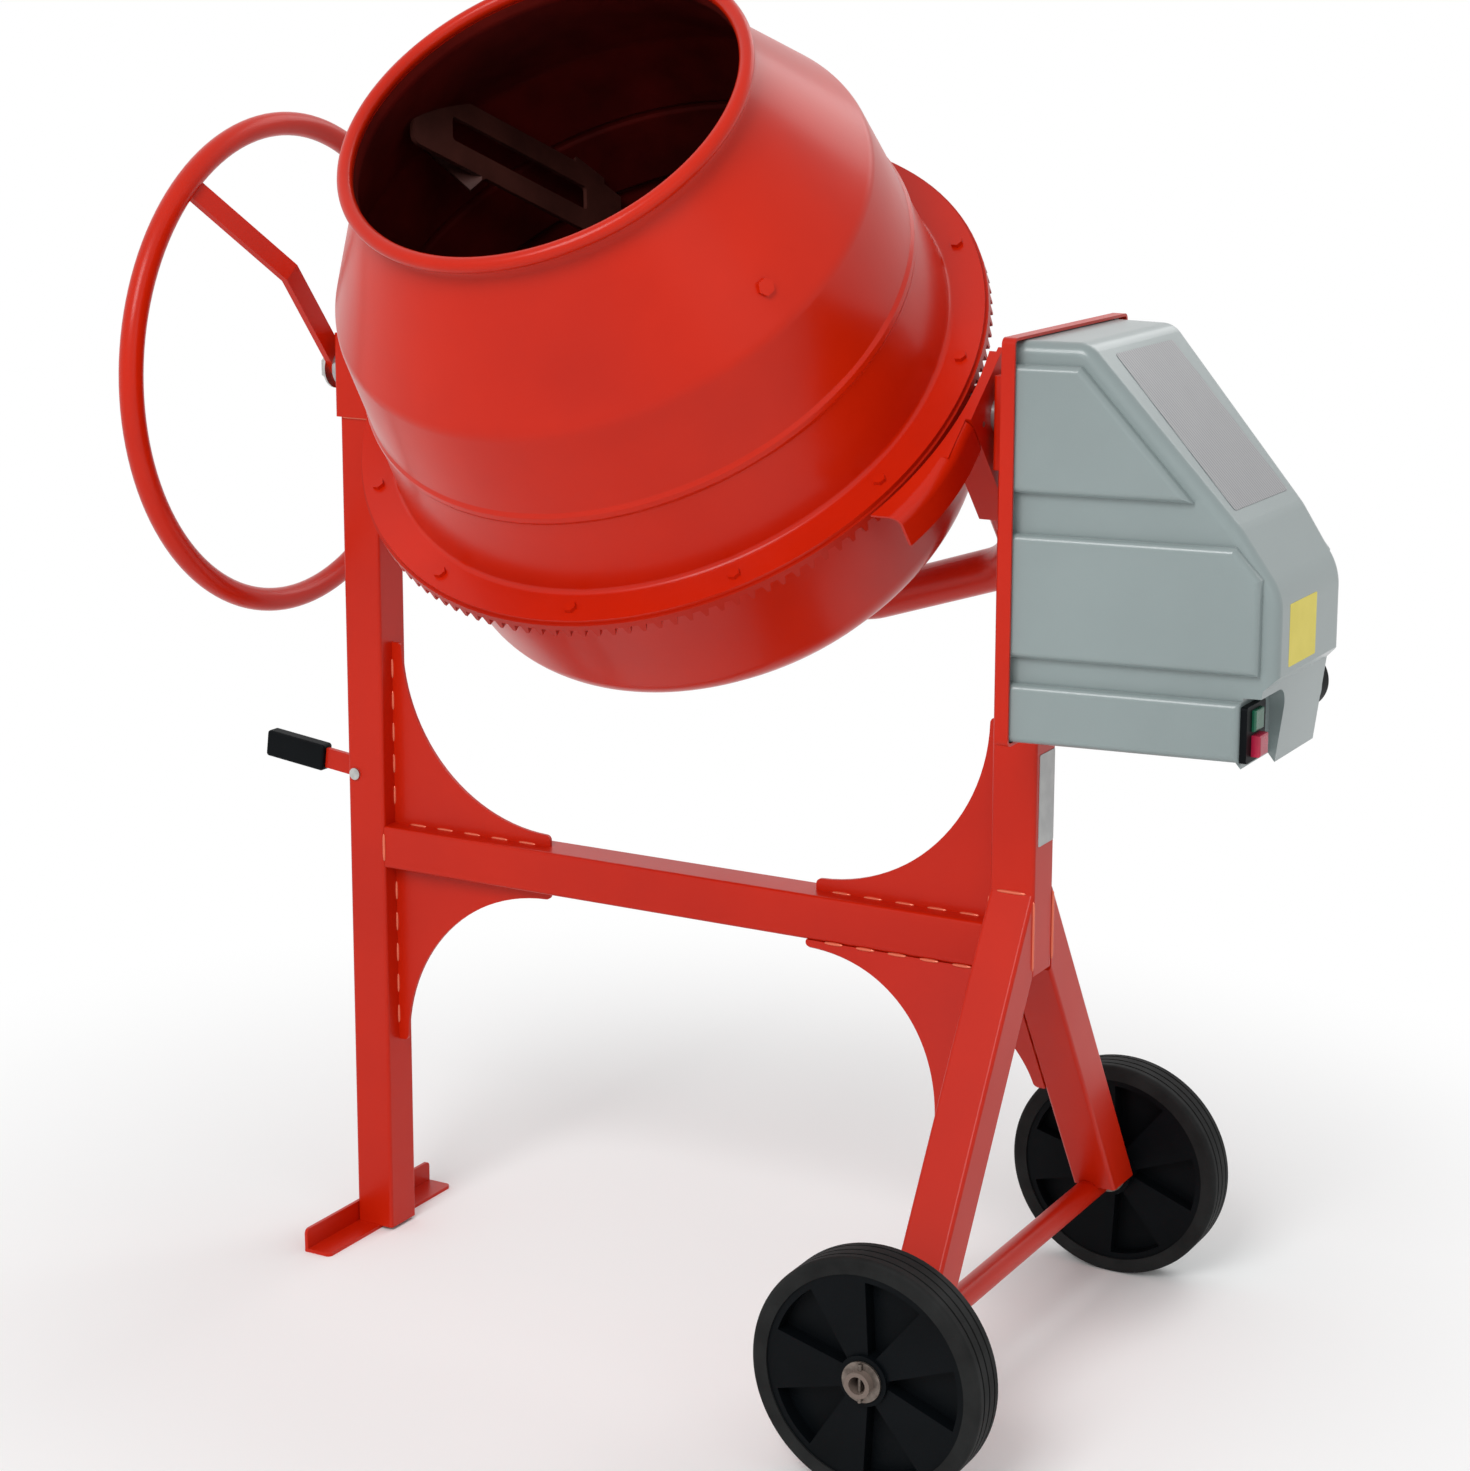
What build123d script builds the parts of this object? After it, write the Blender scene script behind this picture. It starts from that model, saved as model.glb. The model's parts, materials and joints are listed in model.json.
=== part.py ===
"""Tilting-drum concrete mixer on a two-wheeled frame, one STEP file per piece.

Frame: millimetres, +Z up, origin on the floor under the middle of the left post.
+X runs from the left post to the motor side, +Y away from the side the drum tips to.
"""
import os
from math import atan2, cos, degrees, hypot, pi, radians, sin, sqrt, tan

from build123d import *

# ---------------------------------------------------------------- frame tubes
tube_side = 50.0            # square tube of the posts, the beam and the legs
tube_wall = 3.0
tube_corner = 4.0           # outer corner radius of the square tube
post_spacing = 825.0        # left post to right post, centre to centre
tilt_height = 1035.0        # height of the tilting axis
post_drop = 35.0            # post tops below the tilting axis
beam_top = 502.0
gusset_leg = 216.0
gusset_radius = 203.0
gusset_thick = 4.0
gusset_tip = 6.0            # rounding of the tips' hollow side
leg_angle = 31.8            # legs from the vertical
leg_join = 540.0            # height at which a leg's outer face meets the post
leg_end = 132.0             # height of the legs' lower ends
weld_gap = 0.2              # play of a welded slip fit

# ---------------------------------------------------------------- foot
foot_length = 250.0
foot_thick = 4.0
foot_reach = 32.0           # flat flange past the post's outer face
foot_upstand = 28.0
foot_corner = 6.0

# ---------------------------------------------------------------- axle and wheels
axle_offset = 8.0           # axle from the right post's centre, towards the left
axle_radius = 13.5
axle_bore = 9.0
axle_stub = 9.0             # axle past the outer washer
wheel_radius = 125.0
tyre_height = 17.0
tyre_width = 47.0
tyre_edge = 5.0
tread_groove = 2.5
track_inner = 293.0         # inner face of a tyre from the middle plane
disc_recess = 2.0           # disc face behind the tyre's side
hub_radius = 26.0
hub_bush_radius = 20.0
hub_inside = 12.0           # hub past the tyre's inner face
hub_outside = 2.0           # hub past the tyre's outer face
pocket_count = 5
pocket_angle = 36.0
pocket_depth = 17.0
pocket_rim = 7.0            # solid ring outside the pockets
washer_radius = 21.0
washer_thick = 2.5
washer_gap = 0.3
split_pin_radius = 2.0
split_pin_length = 40.0
running_clearance = 0.05    # radial clearance of a shaft that turns

# ---------------------------------------------------------------- tilting bearings
saddle_wall = 4.0
saddle_below = 18.0         # saddle skirt down over the post
saddle_above = 43.0         # saddle top above the tilting axis
bush_wall = 4.0
trunnion_radius = 21.0
trunnion_bore_left = 15.0
trunnion_bore_right = 17.0
arm_gap = 6.0               # between a saddle and the yoke's arm plate

# ---------------------------------------------------------------- tilting yoke
rest_tilt = 40.7            # drum axis from the vertical at rest
drum_x = 410.0
arm_plate = 6.0
arm_half_width = 50.0
arm_flange_depth = 30.0
arm_flange_wall = 4.0
arm_flange_top = -8.0       # along the drum axis from the tilting axis
arm_bottom = -110.0
yoke_radius = 24.0
yoke_wall = 3.0
yoke_depth = 335.0          # cross part of the yoke below the tilting axis
yoke_knee = 125.0           # first bend from the drum axis
yoke_elbow = 235.0          # depth of the second bend
yoke_top = 75.0             # depth of the tube ends between the arm flanges
yoke_bend = 85.0
housing_radius = 33.0
housing_length = 90.0
bearing_width = 16.0
bearing_wall = 11.0

# ---------------------------------------------------------------- handwheel
handwheel_x = -118.0
handwheel_radius = 276.5
handwheel_tube = 13.5
spoke_x = -42.0
spoke_angle = 128.0         # spoke in the wheel's plane, from +Y
spoke_width = 25.0
spoke_thick = 8.0
spoke_bend = 145.0          # distance of the bend from the wheel's centre
wheel_stud_radius = 8.0
wheel_bolt_head = 17.0
wheel_bolt_height = 9.0
wheel_bolt_length = 30.0    # into the trunnion
wheel_washer_radius = 24.0

# ---------------------------------------------------------------- gearing
pinion_teeth = 9
ring_teeth = 135
ring_mid_radius = 349.0
ring_face = 14.0
ring_inner = 326.0
ring_web = 7.0
tooth_share = 0.35          # tooth width over pitch, the rest is gap and backlash
tooth_above = 4.5
tooth_below = 5.4
tooth_slope = 0.27          # flank lean of a tooth, sideways over height
pinion_face = 16.0
pinion_hub = 11.0
pinion_hub_radius = 15.0
shaft_radius = 10.0
shaft_bush_length = 20.0

# ---------------------------------------------------------------- drum
shell_wall = 2.5
flange_radius = 353.0
belt_foot = 315.0           # outer radius of the upper shell at its flange
crease_radius = 293.5
crease_height = 207.0       # crease above the flange
crease_bend = 30.0
neck_radius = 209.0
neck_height = 344.0
neck_bend = 14.0
rim_radius = 221.0
rim_bead = 8.0
rim_height = 363.0
belt_bead_height = 100.0
belt_bead = 2.5
bowl_top_radius = 322.0
bowl_low_radius = 301.0
bowl_low_height = -186.0    # from the flange down to where the wall turns in
bowl_bottom = 240.0         # depth of the bowl below the flange
bowl_turn_radius = 251.0    # where the floor turns up
bowl_turn = 56.0
shell_fold = 6.0
flange_bolts = 12
flange_bolt_circle = 336.5
flange_bolt_start = 6.5     # degrees from +X round the drum axis
flange_bolt_radius = 4.0
bolt_head = 7.0
bolt_head_height = 4.5
spindle_flange_radius = 70.0
spindle_flange = 8.0
spindle_boss = 22.0
spindle_radius = 15.0
spindle_nut_side = 46.0
spindle_nut_height = 14.0
spindle_end = 4.0
play = 0.3                  # gap between faces that run past each other

# ---------------------------------------------------------------- paddles
paddle_centre = (-199.0, 153.0, 142.0)      # from the drum axis at flange height
paddle_along = (0.177, 0.441, -0.880)
paddle_across = (-0.270, 0.882, 0.387)      # towards the wall
paddle_length = 349.0
paddle_width = 80.0
paddle_thick = 5.0
paddle_corner = 10.0
paddle_clear = 9.0          # blade's edge from the wall
paddle_slot = (226.0, 28.0)
paddle_tab = (95.0, 145.0)  # welded tab at the lower end, along the blade
paddle_pad = (30.0, 46.0)
paddle_bolt_angle = 157.2
paddle_bolt_height = 241.0  # over the flange
paddle_bolt_radius = 5.0
paddle_bolt_head = 9.0

# ---------------------------------------------------------------- pinion guard
guard_wall = 2.5
guard_gap = 13.0            # guard's inner edge outside the ring
guard_above = 6.0           # guard's skin over the flange
guard_drop = 42.0
guard_round = 12.0          # rounding along the ring part's outer edge
guard_bolt_y = 32.0
guard_bolt_z = 20.0
guard_bolt_radius = 3.0
guard_bolt_head = 5.5
shaft_passage = 15.0        # hole round the pinion's shaft
guard_near = -184.0         # open near end, across the drum axis
guard_far = 44.0
guard_turn = -70.0          # where the outer wall starts to follow the ring
guard_turn_radius = 246.0
guard_end = -52.0           # where the ring part stops beside the arm

# ---------------------------------------------------------------- hood
plate_wall = 3.0
plate_lip = 14.0
plate_bottom = -311.0       # heights of the plate and the hood are from the tilting axis
plate_top = 95.0
plate_half = 143.0
plate_corner = 7.0
hood_y = 4.0                # middle of the hood and its plate
hood_wall = 3.0
hood_gap = 1.0              # between the hood and the plate's lip
hood_draft = 7.5            # side walls, degrees
hood_top_run = 75.0         # flat top, from the plate
hood_slope_x = 226.0        # foot of the slope, from the plate
hood_slope_z = -80.0
hood_front = 268.0          # front wall from the plate
hood_shoulder_z = -142.0
hood_step_z = -223.0
hood_step = 13.0
hood_skirt_in = 25.0        # skirt's lower edge behind the front wall
hood_skirt_z = -323.0
hood_edge = 13.0            # rounding of the hood's side edges
hood_radii = (20.0, 60.0, 60.0, 25.0)     # from the lower front corner up
panel_depth = 11.0          # raised panels over the rest of the side wall
panel_edge = 7.0
panel_low_top = -247.0
panel_middle = (-221.0, -97.0)
panel_middle_end = 252.0
panel_chamfer = (26.0, 30.0)
panel_high = (-57.0, 69.0)
panel_high_end = 184.0
panel_high_run = 72.0
notch_x = 236.0             # switch recess from the plate
notch_y = -19.0             # from the hood's middle
notch_z = -244.0
notch_round = 25.0
screw_heights = (79.0, -77.0, -234.0)
screw_radius = 2.5
screw_head = 5.0
screw_head_height = 3.0
screw_inset = 5.5           # screw from the side panels' face

# ---------------------------------------------------------------- drive
belt_width = 14.0
belt_thick = 3.0
belt_play = 0.3
belt_gap = 11.0             # belt from the plate
pulley_radius = 70.0
pulley_ratio = 3.6
pulley_rim = 6.0
pulley_web = 5.0
pulley_hub = 20.0
motor_drop = 220.0          # motor axis below the tilting axis
motor_radius = 62.0
motor_length = 150.0
motor_edge = 12.0
motor_gap = 10.0            # motor flange behind the belt
motor_flange = 6.0
motor_flange_radius = 76.0
motor_shaft_radius = 7.0
standoff_radius = 6.0
standoff_circle = 66.0
fin_count = 24
fin_height = 5.0
fin_width = 3.0

# ---------------------------------------------------------------- switch and inlet
switch_y = -76.0            # from the hood's middle
switch_z = -280.0           # from the tilting axis
switch_width = 52.0
switch_height = 56.0
switch_bezel = 7.0
switch_depth = 32.0
switch_body_width = 40.0
switch_body_height = 46.0
button_width = 24.0
button_height = 21.0
button_spacing = 25.0
button_round = 2.0
button_play = 0.4
start_reach = 4.0           # button past the bezel
stop_reach = 9.0
button_travel = 3.0
button_seat = 5.0           # button inside the bezel beyond its travel
inlet_x = 213.0             # from the plate
inlet_z = -270.0            # from the tilting axis
inlet_radius = 31.0
inlet_depth = 24.0
inlet_neck = 20.0
inlet_back = 18.0           # inlet inside the hood
inlet_recess = 17.0
inlet_recess_radius = 24.0
inlet_pin = 3.0
inlet_pin_spacing = 22.0
boss_margin = 3.0
boss_height = 1.0           # boss over the side panel

# ---------------------------------------------------------------- tilt lock
lock_x = 8.0
lever_pivot_x = -14.0
lever_pivot_z = 561.0
lever_rise = 6.6            # lever's slope at rest, degrees
lever_height = 24.0
lever_thick = 6.0
lever_inner = 26.0          # lever past its pivot, inwards
lever_outer = 140.0
grip_length = 84.0
grip_height = 32.0
grip_thick = 18.0
lock_travel = 21.0          # degrees from free to locked
pivot_radius = 4.0
pivot_head = 7.0
pivot_head_height = 3.0
rod_radius = 5.0
rod_rest_gap = 0.8
lock_hole = 6.0
guide_drop = 40.0           # rod guide below the post's top
guide_thick = 6.0
slot_margin = 2.0
tilt_forward = 84.3         # tilting range from rest, towards -Y
tilt_back = 165.7

# ---------------------------------------------------------------- derived places
half = tube_side / 2
post_top = tilt_height - post_drop
guide_height = post_top - guide_drop
right_x = post_spacing
beam_bottom = beam_top - tube_side
axle_x = post_spacing - axle_offset
slope = tan(radians(leg_angle))
saddle_outer = half + saddle_wall
bush_radius = trunnion_radius + running_clearance + bush_wall
arm_left = saddle_outer + arm_gap                    # outer face of the left arm plate
arm_right = right_x - saddle_outer - arm_gap         # outer face of the right arm plate
plate_x = right_x + saddle_outer                     # outer face of the saddle
hood_x = plate_x + plate_wall
module = 2 * ring_mid_radius / ring_teeth
pitch = pi * module
pinion_pitch = module * pinion_teeth / 2
ring_root = pinion_pitch + tooth_below               # above the tilting axis
low_flange = ring_root + ring_web
top_flange = low_flange + shell_wall
flange_top = top_flange + shell_wall                 # the drum's heights start here
bowl_floor = flange_top - bowl_bottom
belt_x = hood_x + belt_gap
lock_steps = (tilt_forward, 0.0, -rest_tilt, -2 * rest_tilt, -tilt_back)
motor_pulley_radius = pulley_radius / pulley_ratio
motor_z = tilt_height - motor_drop
tilt = radians(rest_tilt)

# x as in the part, y across the drum axis, z along it, from the tilting axis
YOKE = Plane(origin=(0, 0, tilt_height), x_dir=(1, 0, 0), z_dir=(0, -sin(tilt), cos(tilt)))
# the same, from the point where the drum axis crosses flange height
DRUM = Plane(origin=YOKE.from_local_coords((drum_x, 0, flange_top)),
             x_dir=(1, 0, 0), z_dir=(0, -sin(tilt), cos(tilt)))


# x from the plate's inner face, y from the hood's middle, z from the tilting axis
HOOD = Location((hood_x, hood_y, tilt_height))


# ---------------------------------------------------------------- helpers
def block(x, y, z):
    """A box from three pairs of limits."""
    spans = [(min(pair), max(pair)) for pair in (x, y, z)]
    size = [high - low for low, high in spans]
    middle = [(high + low) / 2 for low, high in spans]
    return Pos(*middle) * Box(*size)


def rod(start, direction, length, radius, bore=None):
    """A round bar or tube from a start point along a direction."""
    section = Circle(radius)
    if bore:
        section -= Circle(bore)
    return extrude(Plane(origin=start, z_dir=direction) * section, amount=length)


def strip(points, thick):
    """A flat face as wide as thick, along the left side of a line of points."""
    shifted = []
    for i, here in enumerate(points):
        ways = []
        if i > 0:
            ways.append(unit(points[i - 1], here))
        if i < len(points) - 1:
            ways.append(unit(here, points[i + 1]))
        nx = sum(-w[1] for w in ways) / len(ways)
        ny = sum(w[0] for w in ways) / len(ways)
        scale = thick / (nx * nx + ny * ny)
        shifted.append((here[0] + nx * scale, here[1] + ny * scale))
    outline = list(points) + shifted[::-1]
    return make_face(Polyline(*outline, close=True))


def unit(a, b):
    """The direction from one 2D point to another."""
    length = hypot(b[0] - a[0], b[1] - a[1])
    return ((b[0] - a[0]) / length, (b[1] - a[1]) / length)


def square_tube(length):
    """A length of the frame's square tube, along +Z from the origin."""
    outer = RectangleRounded(tube_side, tube_side, tube_corner)
    inner_side = tube_side - 2 * tube_wall
    inner = RectangleRounded(inner_side, inner_side, tube_corner - tube_wall)
    return extrude(outer - inner, amount=length)


def turned(profile):
    """A body of revolution about local Z from a face drawn in the XZ plane."""
    return revolve(Plane.XZ * profile, axis=Axis.Z)


def at_drum(shape):
    """Moves a shape from the drum's own frame into the part."""
    return DRUM.location * shape


def at_yoke(shape):
    """Moves a shape from the yoke's own frame into the part."""
    return YOKE.location * shape


def hexagon_head(radius, height):
    """A hexagon head with its crown turned round, along +Z from the origin."""
    head = extrude(RegularPolygon(radius, 6), amount=height)
    return head & Cylinder(radius, 4 * height, align=(Align.CENTER, Align.CENTER, Align.CENTER))


# ---------------------------------------------------------------- frame
def foot_angle():
    outer = -half - foot_thick
    base = block((outer, outer + foot_thick + foot_reach), (-foot_length / 2, foot_length / 2),
                 (0, foot_thick))
    base = fillet(base.edges().filter_by(Axis.Z).sort_by(Axis.X)[-2:], foot_corner)
    wall = block((outer, -half), (-foot_length / 2, foot_length / 2), (0, foot_upstand))
    wall = fillet(wall.edges().filter_by(Axis.X).sort_by(Axis.Z)[-2:], foot_corner)
    return base + wall


def left_post():
    post = Pos(0, 0, foot_thick) * square_tube(post_top - foot_thick)
    inner = half - tube_wall
    guide = block((-inner, inner), (-inner, inner), (guide_height, guide_height + guide_thick))
    guide -= rod((lock_x, 0, guide_height), (0, 0, 1), guide_thick, rod_radius + running_clearance)
    post += guide
    post -= lever_slot()
    post -= rod((lever_pivot_x, -half, lever_pivot_z), (0, 1, 0), tube_side, pivot_radius)
    return post


def lever_height_at(x, turn):
    """Height of the lever's middle line at an x, with the lever turned down by an angle."""
    return lever_pivot_z - (x - lever_pivot_x) * tan(radians(lever_rise - turn))


def lever_slot():
    """The slot in the post's outer wall that the lever swings in."""
    reach = lever_height / 2 / cos(radians(lock_travel - lever_rise)) + slot_margin
    high = lever_height_at(-half, 0) + reach
    low = lever_height_at(-half, lock_travel) - reach
    side = lever_thick / 2 + slot_margin
    return block((-half - 1, -half + tube_wall + 1), (-side, side), (low, high))


def cross_beam():
    beam = Plane(origin=(half, 0, beam_top - half), x_dir=(0, 1, 0), z_dir=(1, 0, 0))
    return beam.location * square_tube(post_spacing - tube_side)


def gusset_face():
    """A square corner plate with a hollow round edge, its corner at the origin."""
    plate = Pos(gusset_leg / 2, gusset_leg / 2) * Rectangle(gusset_leg, gusset_leg)
    plate -= Pos(gusset_leg, gusset_leg) * Circle(gusset_radius)
    tips = [spot for spot in plate.vertices() if 0 < min(spot.X, spot.Y) < gusset_leg / 2]
    return fillet(tips, gusset_tip)


def gusset(corner, along, down):
    """A gusset plate from its corner, with its two edge directions."""
    plane = Plane(origin=corner, x_dir=along, z_dir=Vector(*along).cross(Vector(*down)))
    return extrude(plane * gusset_face(), amount=gusset_thick / 2, both=True)


def leg_gusset(side):
    """A gusset from the beam's lower edge to a leg, in a plane that slopes as the leg does."""
    lean = radians(leg_angle)
    inset = gusset_thick / 2 / cos(lean)
    down = (0, side * sin(lean), -cos(lean))
    lift = gusset_thick
    corner = (right_x - half, side * (half - inset - lift * tan(lean)), beam_bottom + lift)
    plate = gusset(corner, (-1, 0, 0), down)
    below = block((0, post_spacing), (-post_spacing, post_spacing), (0, beam_bottom))
    return plate & below


def right_post():
    return Pos(right_x, 0, beam_bottom) * square_tube(post_top - beam_bottom)


def leg(side):
    """A square tube from the right post's side out to the axle."""
    lean = radians(leg_angle)
    centre_y = half - half * cos(lean)
    centre_z = leg_join - half * sin(lean)
    run = (leg_join - leg_end) / cos(lean) + 2 * tube_side
    start = (right_x, side * (centre_y - tube_side * sin(lean)), centre_z + tube_side * cos(lean))
    along = Plane(origin=start, x_dir=(1, 0, 0), z_dir=(0, side * sin(lean), -cos(lean)))
    tube = along.location * square_tube(run + tube_side)
    space = block((0, 2 * post_spacing), (side * half, side * post_spacing), (leg_end, leg_join))
    notch = rod((axle_x, -post_spacing, wheel_radius), (0, 1, 0), 2 * post_spacing,
                axle_radius + weld_gap)
    return (tube & space) - notch


def saddle(centre_x):
    """The cap over a post's top that holds the tilting bearing."""
    outer = saddle_outer
    inner = half + weld_gap
    low = post_top - saddle_below
    high = tilt_height + saddle_above
    body = block((centre_x - outer, centre_x + outer), (-outer, outer), (low, high))
    body = fillet(body.edges().filter_by(Axis.Z), tube_corner)
    body -= block((centre_x - inner, centre_x + inner), (-inner, inner),
                  (low, high - saddle_wall))
    return body - rod((centre_x - outer, 0, tilt_height), (1, 0, 0), 2 * outer, bush_radius)


def trunnion_bush(centre_x):
    """The plain bearing of one trunnion."""
    return rod((centre_x - saddle_outer, 0, tilt_height), (1, 0, 0), 2 * saddle_outer,
               bush_radius, trunnion_radius + running_clearance)


def trunnion_bushes():
    passage = rod((lock_x, 0, guide_height), (0, 0, 1), tilt_height - guide_height, lock_hole)
    return Compound(children=[trunnion_bush(0) - passage, trunnion_bush(right_x)])


# ---------------------------------------------------------------- axle and wheels
def wheel_faces():
    """Distances of the hub's inner and outer face from the middle plane."""
    return track_inner - hub_inside, track_inner + tyre_width + hub_outside


def axle():
    inner, outer = wheel_faces()
    reach = outer + washer_gap + washer_thick + axle_stub
    tube = rod((axle_x, -reach, wheel_radius), (0, 1, 0), 2 * reach, axle_radius, axle_bore)
    for side in (-1, 1):
        tube -= split_pin(side)
    return tube


def split_pin(side):
    """A cross pin just outside the outer washer."""
    inner, outer = wheel_faces()
    place = outer + washer_gap + washer_thick + split_pin_radius + washer_gap
    return rod((axle_x, side * place, wheel_radius - split_pin_length / 2), (0, 0, 1),
               split_pin_length, split_pin_radius)


def axle_washers():
    inner, outer = wheel_faces()
    washers = []
    for side in (-1, 1):
        for place in (inner - washer_gap - washer_thick, outer + washer_gap):
            start = (axle_x, side * place, wheel_radius)
            washers.append(rod(start, (0, side, 0), washer_thick, washer_radius, axle_radius))
    return washers


def wheel_plane(side):
    """The wheel's frame: +Z outwards along the axle, from the tyre's inner face."""
    return Plane(origin=(axle_x, side * track_inner, wheel_radius), x_dir=(1, 0, 0),
                 z_dir=(0, side, 0))


def tyre(side):
    section = Rectangle(tyre_height, tyre_width)
    section = Pos(wheel_radius - tyre_height / 2, tyre_width / 2) * section
    crown = section.vertices().sort_by(Axis.X)[-2:]
    section = fillet(crown, tyre_edge)
    for share in (0.25, 0.5, 0.75):
        section -= Pos(wheel_radius, tyre_width * share) * Rectangle(tread_groove, tread_groove)
    return wheel_plane(side).location * turned(section)


def pocket():
    """One wedge-shaped pocket of the wheel's disc, about +X."""
    inner = hub_radius
    outer = wheel_radius - tyre_height - pocket_rim
    spread = radians(pocket_angle / 2)
    a = (inner * cos(spread / 2), inner * sin(spread / 2))
    b = (outer * cos(spread), outer * sin(spread))
    with BuildSketch() as sketch:
        with BuildLine():
            Line((a[0], -a[1]), (b[0], -b[1]))
            ThreePointArc((b[0], -b[1]), (outer, 0), b)
            Line(b, a)
            Line(a, (a[0], -a[1]))
        make_face()
    return sketch.sketch


def wheel_disc(side):
    outer = wheel_radius - tyre_height
    face = tyre_width - disc_recess
    disc = extrude(Circle(outer), amount=face - disc_recess)
    disc = Pos(0, 0, disc_recess) * disc
    hub_length = hub_inside + tyre_width + hub_outside
    disc += Pos(0, 0, -hub_inside) * extrude(Circle(hub_radius), amount=hub_length)
    cut = extrude(pocket(), amount=pocket_depth)
    for i in range(pocket_count):
        turn = Rot(0, 0, i * 360 / pocket_count)
        disc -= turn * Pos(0, 0, face - pocket_depth) * cut
        disc -= turn * Pos(0, 0, disc_recess) * cut
    disc -= Pos(0, 0, -hub_inside) * extrude(Circle(hub_bush_radius), amount=hub_length)
    return wheel_plane(side).location * disc


def wheel_bush(side):
    length = hub_inside + tyre_width + hub_outside
    bush = extrude(Circle(hub_bush_radius) - Circle(axle_radius + running_clearance), amount=length)
    return wheel_plane(side).location * Pos(0, 0, -hub_inside) * bush


# ---------------------------------------------------------------- yoke
def trunnion_left():
    start = spoke_x + spoke_thick / 2
    tube = rod((start, 0, tilt_height), (1, 0, 0), arm_left - start, trunnion_radius,
               trunnion_bore_left)
    for step in lock_steps:
        way = radians(step)
        tube -= rod((lock_x, 0, tilt_height), (0, -sin(way), -cos(way)), trunnion_radius + 1,
                    lock_hole)
    return tube


def trunnion_right():
    end = hood_x + plate_wall
    return rod((arm_right, 0, tilt_height), (1, 0, 0), end - arm_right, trunnion_radius,
               trunnion_bore_right)


def arm_bracket(face_x, inward):
    """An arm plate with two side flanges, on the yoke's end. face_x is its outer face."""
    inner_x = face_x + inward * arm_plate
    high = flange_top + guard_above
    web = Pos(0, (high + arm_bottom) / 2) * Rectangle(2 * arm_half_width, high - arm_bottom)
    web -= Circle(shaft_passage)
    plane = Plane(origin=(face_x, 0, 0), x_dir=(0, 1, 0), z_dir=(1, 0, 0))
    bracket = extrude(plane * web, amount=inward * arm_plate)
    for side in (-1, 1):
        outer = side * arm_half_width
        bracket += block((face_x, inner_x + inward * arm_flange_depth),
                         (outer - side * arm_flange_wall, outer), (arm_bottom, arm_flange_top))
    return at_yoke(bracket - guard_bolt_shanks())


def yoke_arm(inward, face_x):
    """Half of the yoke: a bent tube from the spindle housing to one arm bracket."""
    end_x = face_x + inward * (arm_plate + yoke_radius)
    start_x = drum_x - inward * (housing_radius - yoke_wall)
    knee_x = drum_x - inward * yoke_knee
    points = [(start_x, 0, -yoke_depth), (knee_x, 0, -yoke_depth), (end_x, 0, -yoke_elbow),
              (end_x, 0, -yoke_top)]
    path = FilletPolyline(*points, radius=yoke_bend)
    section = Plane(origin=points[0], z_dir=(-inward, 0, 0))
    tube = sweep(section * (Circle(yoke_radius) - Circle(yoke_radius - yoke_wall)), path=path)
    return at_yoke(tube - housing_solid(0))


def housing_solid(bore):
    """The spindle housing's outer or inner cylinder in the yoke's frame."""
    low = -yoke_depth - housing_length / 2
    return rod((drum_x, 0, low), (0, 0, 1), housing_length, housing_radius, bore)


def spindle_housing():
    return at_yoke(housing_solid(spindle_radius + bearing_wall))


def spindle_bearings():
    rings = []
    for low in (-yoke_depth - housing_length / 2, -yoke_depth + housing_length / 2 - bearing_width):
        rings.append(at_yoke(rod((drum_x, 0, low), (0, 0, 1), bearing_width,
                                 spindle_radius + bearing_wall,
                                 spindle_radius + running_clearance)))
    return Compound(children=rings)


def shaft_bushes():
    end = hood_x + plate_wall
    bushes = []
    for start in (arm_right, end - shaft_bush_length):
        bushes.append(rod((start, 0, tilt_height), (1, 0, 0), shaft_bush_length,
                          trunnion_bore_right, shaft_radius + running_clearance))
    return Compound(children=bushes)


def guard_ring_room():
    """What the guard leaves free round the ring, seen along the drum axis."""
    return Pos(drum_x, 0) * Circle(ring_mid_radius + ring_face / 2 + guard_gap)


def guard_ring_part(inset):
    """The guard along the ring, or its inside when inset by the wall, open at its near end."""
    wall_x = arm_right - inset
    near = guard_near - inset
    centre_x = arm_right - guard_turn_radius
    radius = guard_turn_radius - inset
    near_x = centre_x + sqrt(radius ** 2 - (near - guard_turn) ** 2)
    bend = radius * sin(atan2(guard_turn - near, near_x - centre_x) / 2)
    middle = (centre_x + sqrt(radius ** 2 - bend ** 2), guard_turn - bend)
    end = guard_end - inset
    lines = [Line((drum_x, near), (near_x, near)),
             ThreePointArc((near_x, near), middle, (wall_x, guard_turn)),
             Polyline((wall_x, guard_turn), (wall_x, end), (drum_x, end), (drum_x, near))]
    top = flange_top + guard_above - inset
    form = extrude(make_face(lines) - guard_ring_room(), amount=guard_drop)
    form = Pos(0, 0, top - guard_drop) * form
    beside_ring = drum_x + ring_mid_radius + ring_face
    edges = [edge for edge in form.edges().group_by(Axis.Z)[-1]
             if near < edge.center().Y < end - play and edge.center().X > beside_ring]
    return fillet(edges, guard_round - inset)


def guard_arm_part(inset):
    """The plain box on the arm's inner face that covers the pinion."""
    top = flange_top + guard_above - inset
    box = block((drum_x, arm_right - arm_plate - inset),
                (guard_end - arm_half_width + inset, guard_far - inset), (top - guard_drop, top))
    return box - extrude(guard_ring_room(), amount=top)


def pinion_guard():
    outside = guard_ring_part(0) + guard_arm_part(0)
    inside = guard_ring_part(guard_wall) + guard_arm_part(guard_wall)
    skin = outside - inside
    skin -= rod((drum_x, 0, 0), (1, 0, 0), arm_right - drum_x, shaft_passage)
    return at_yoke(skin - guard_bolt_shanks())


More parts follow.
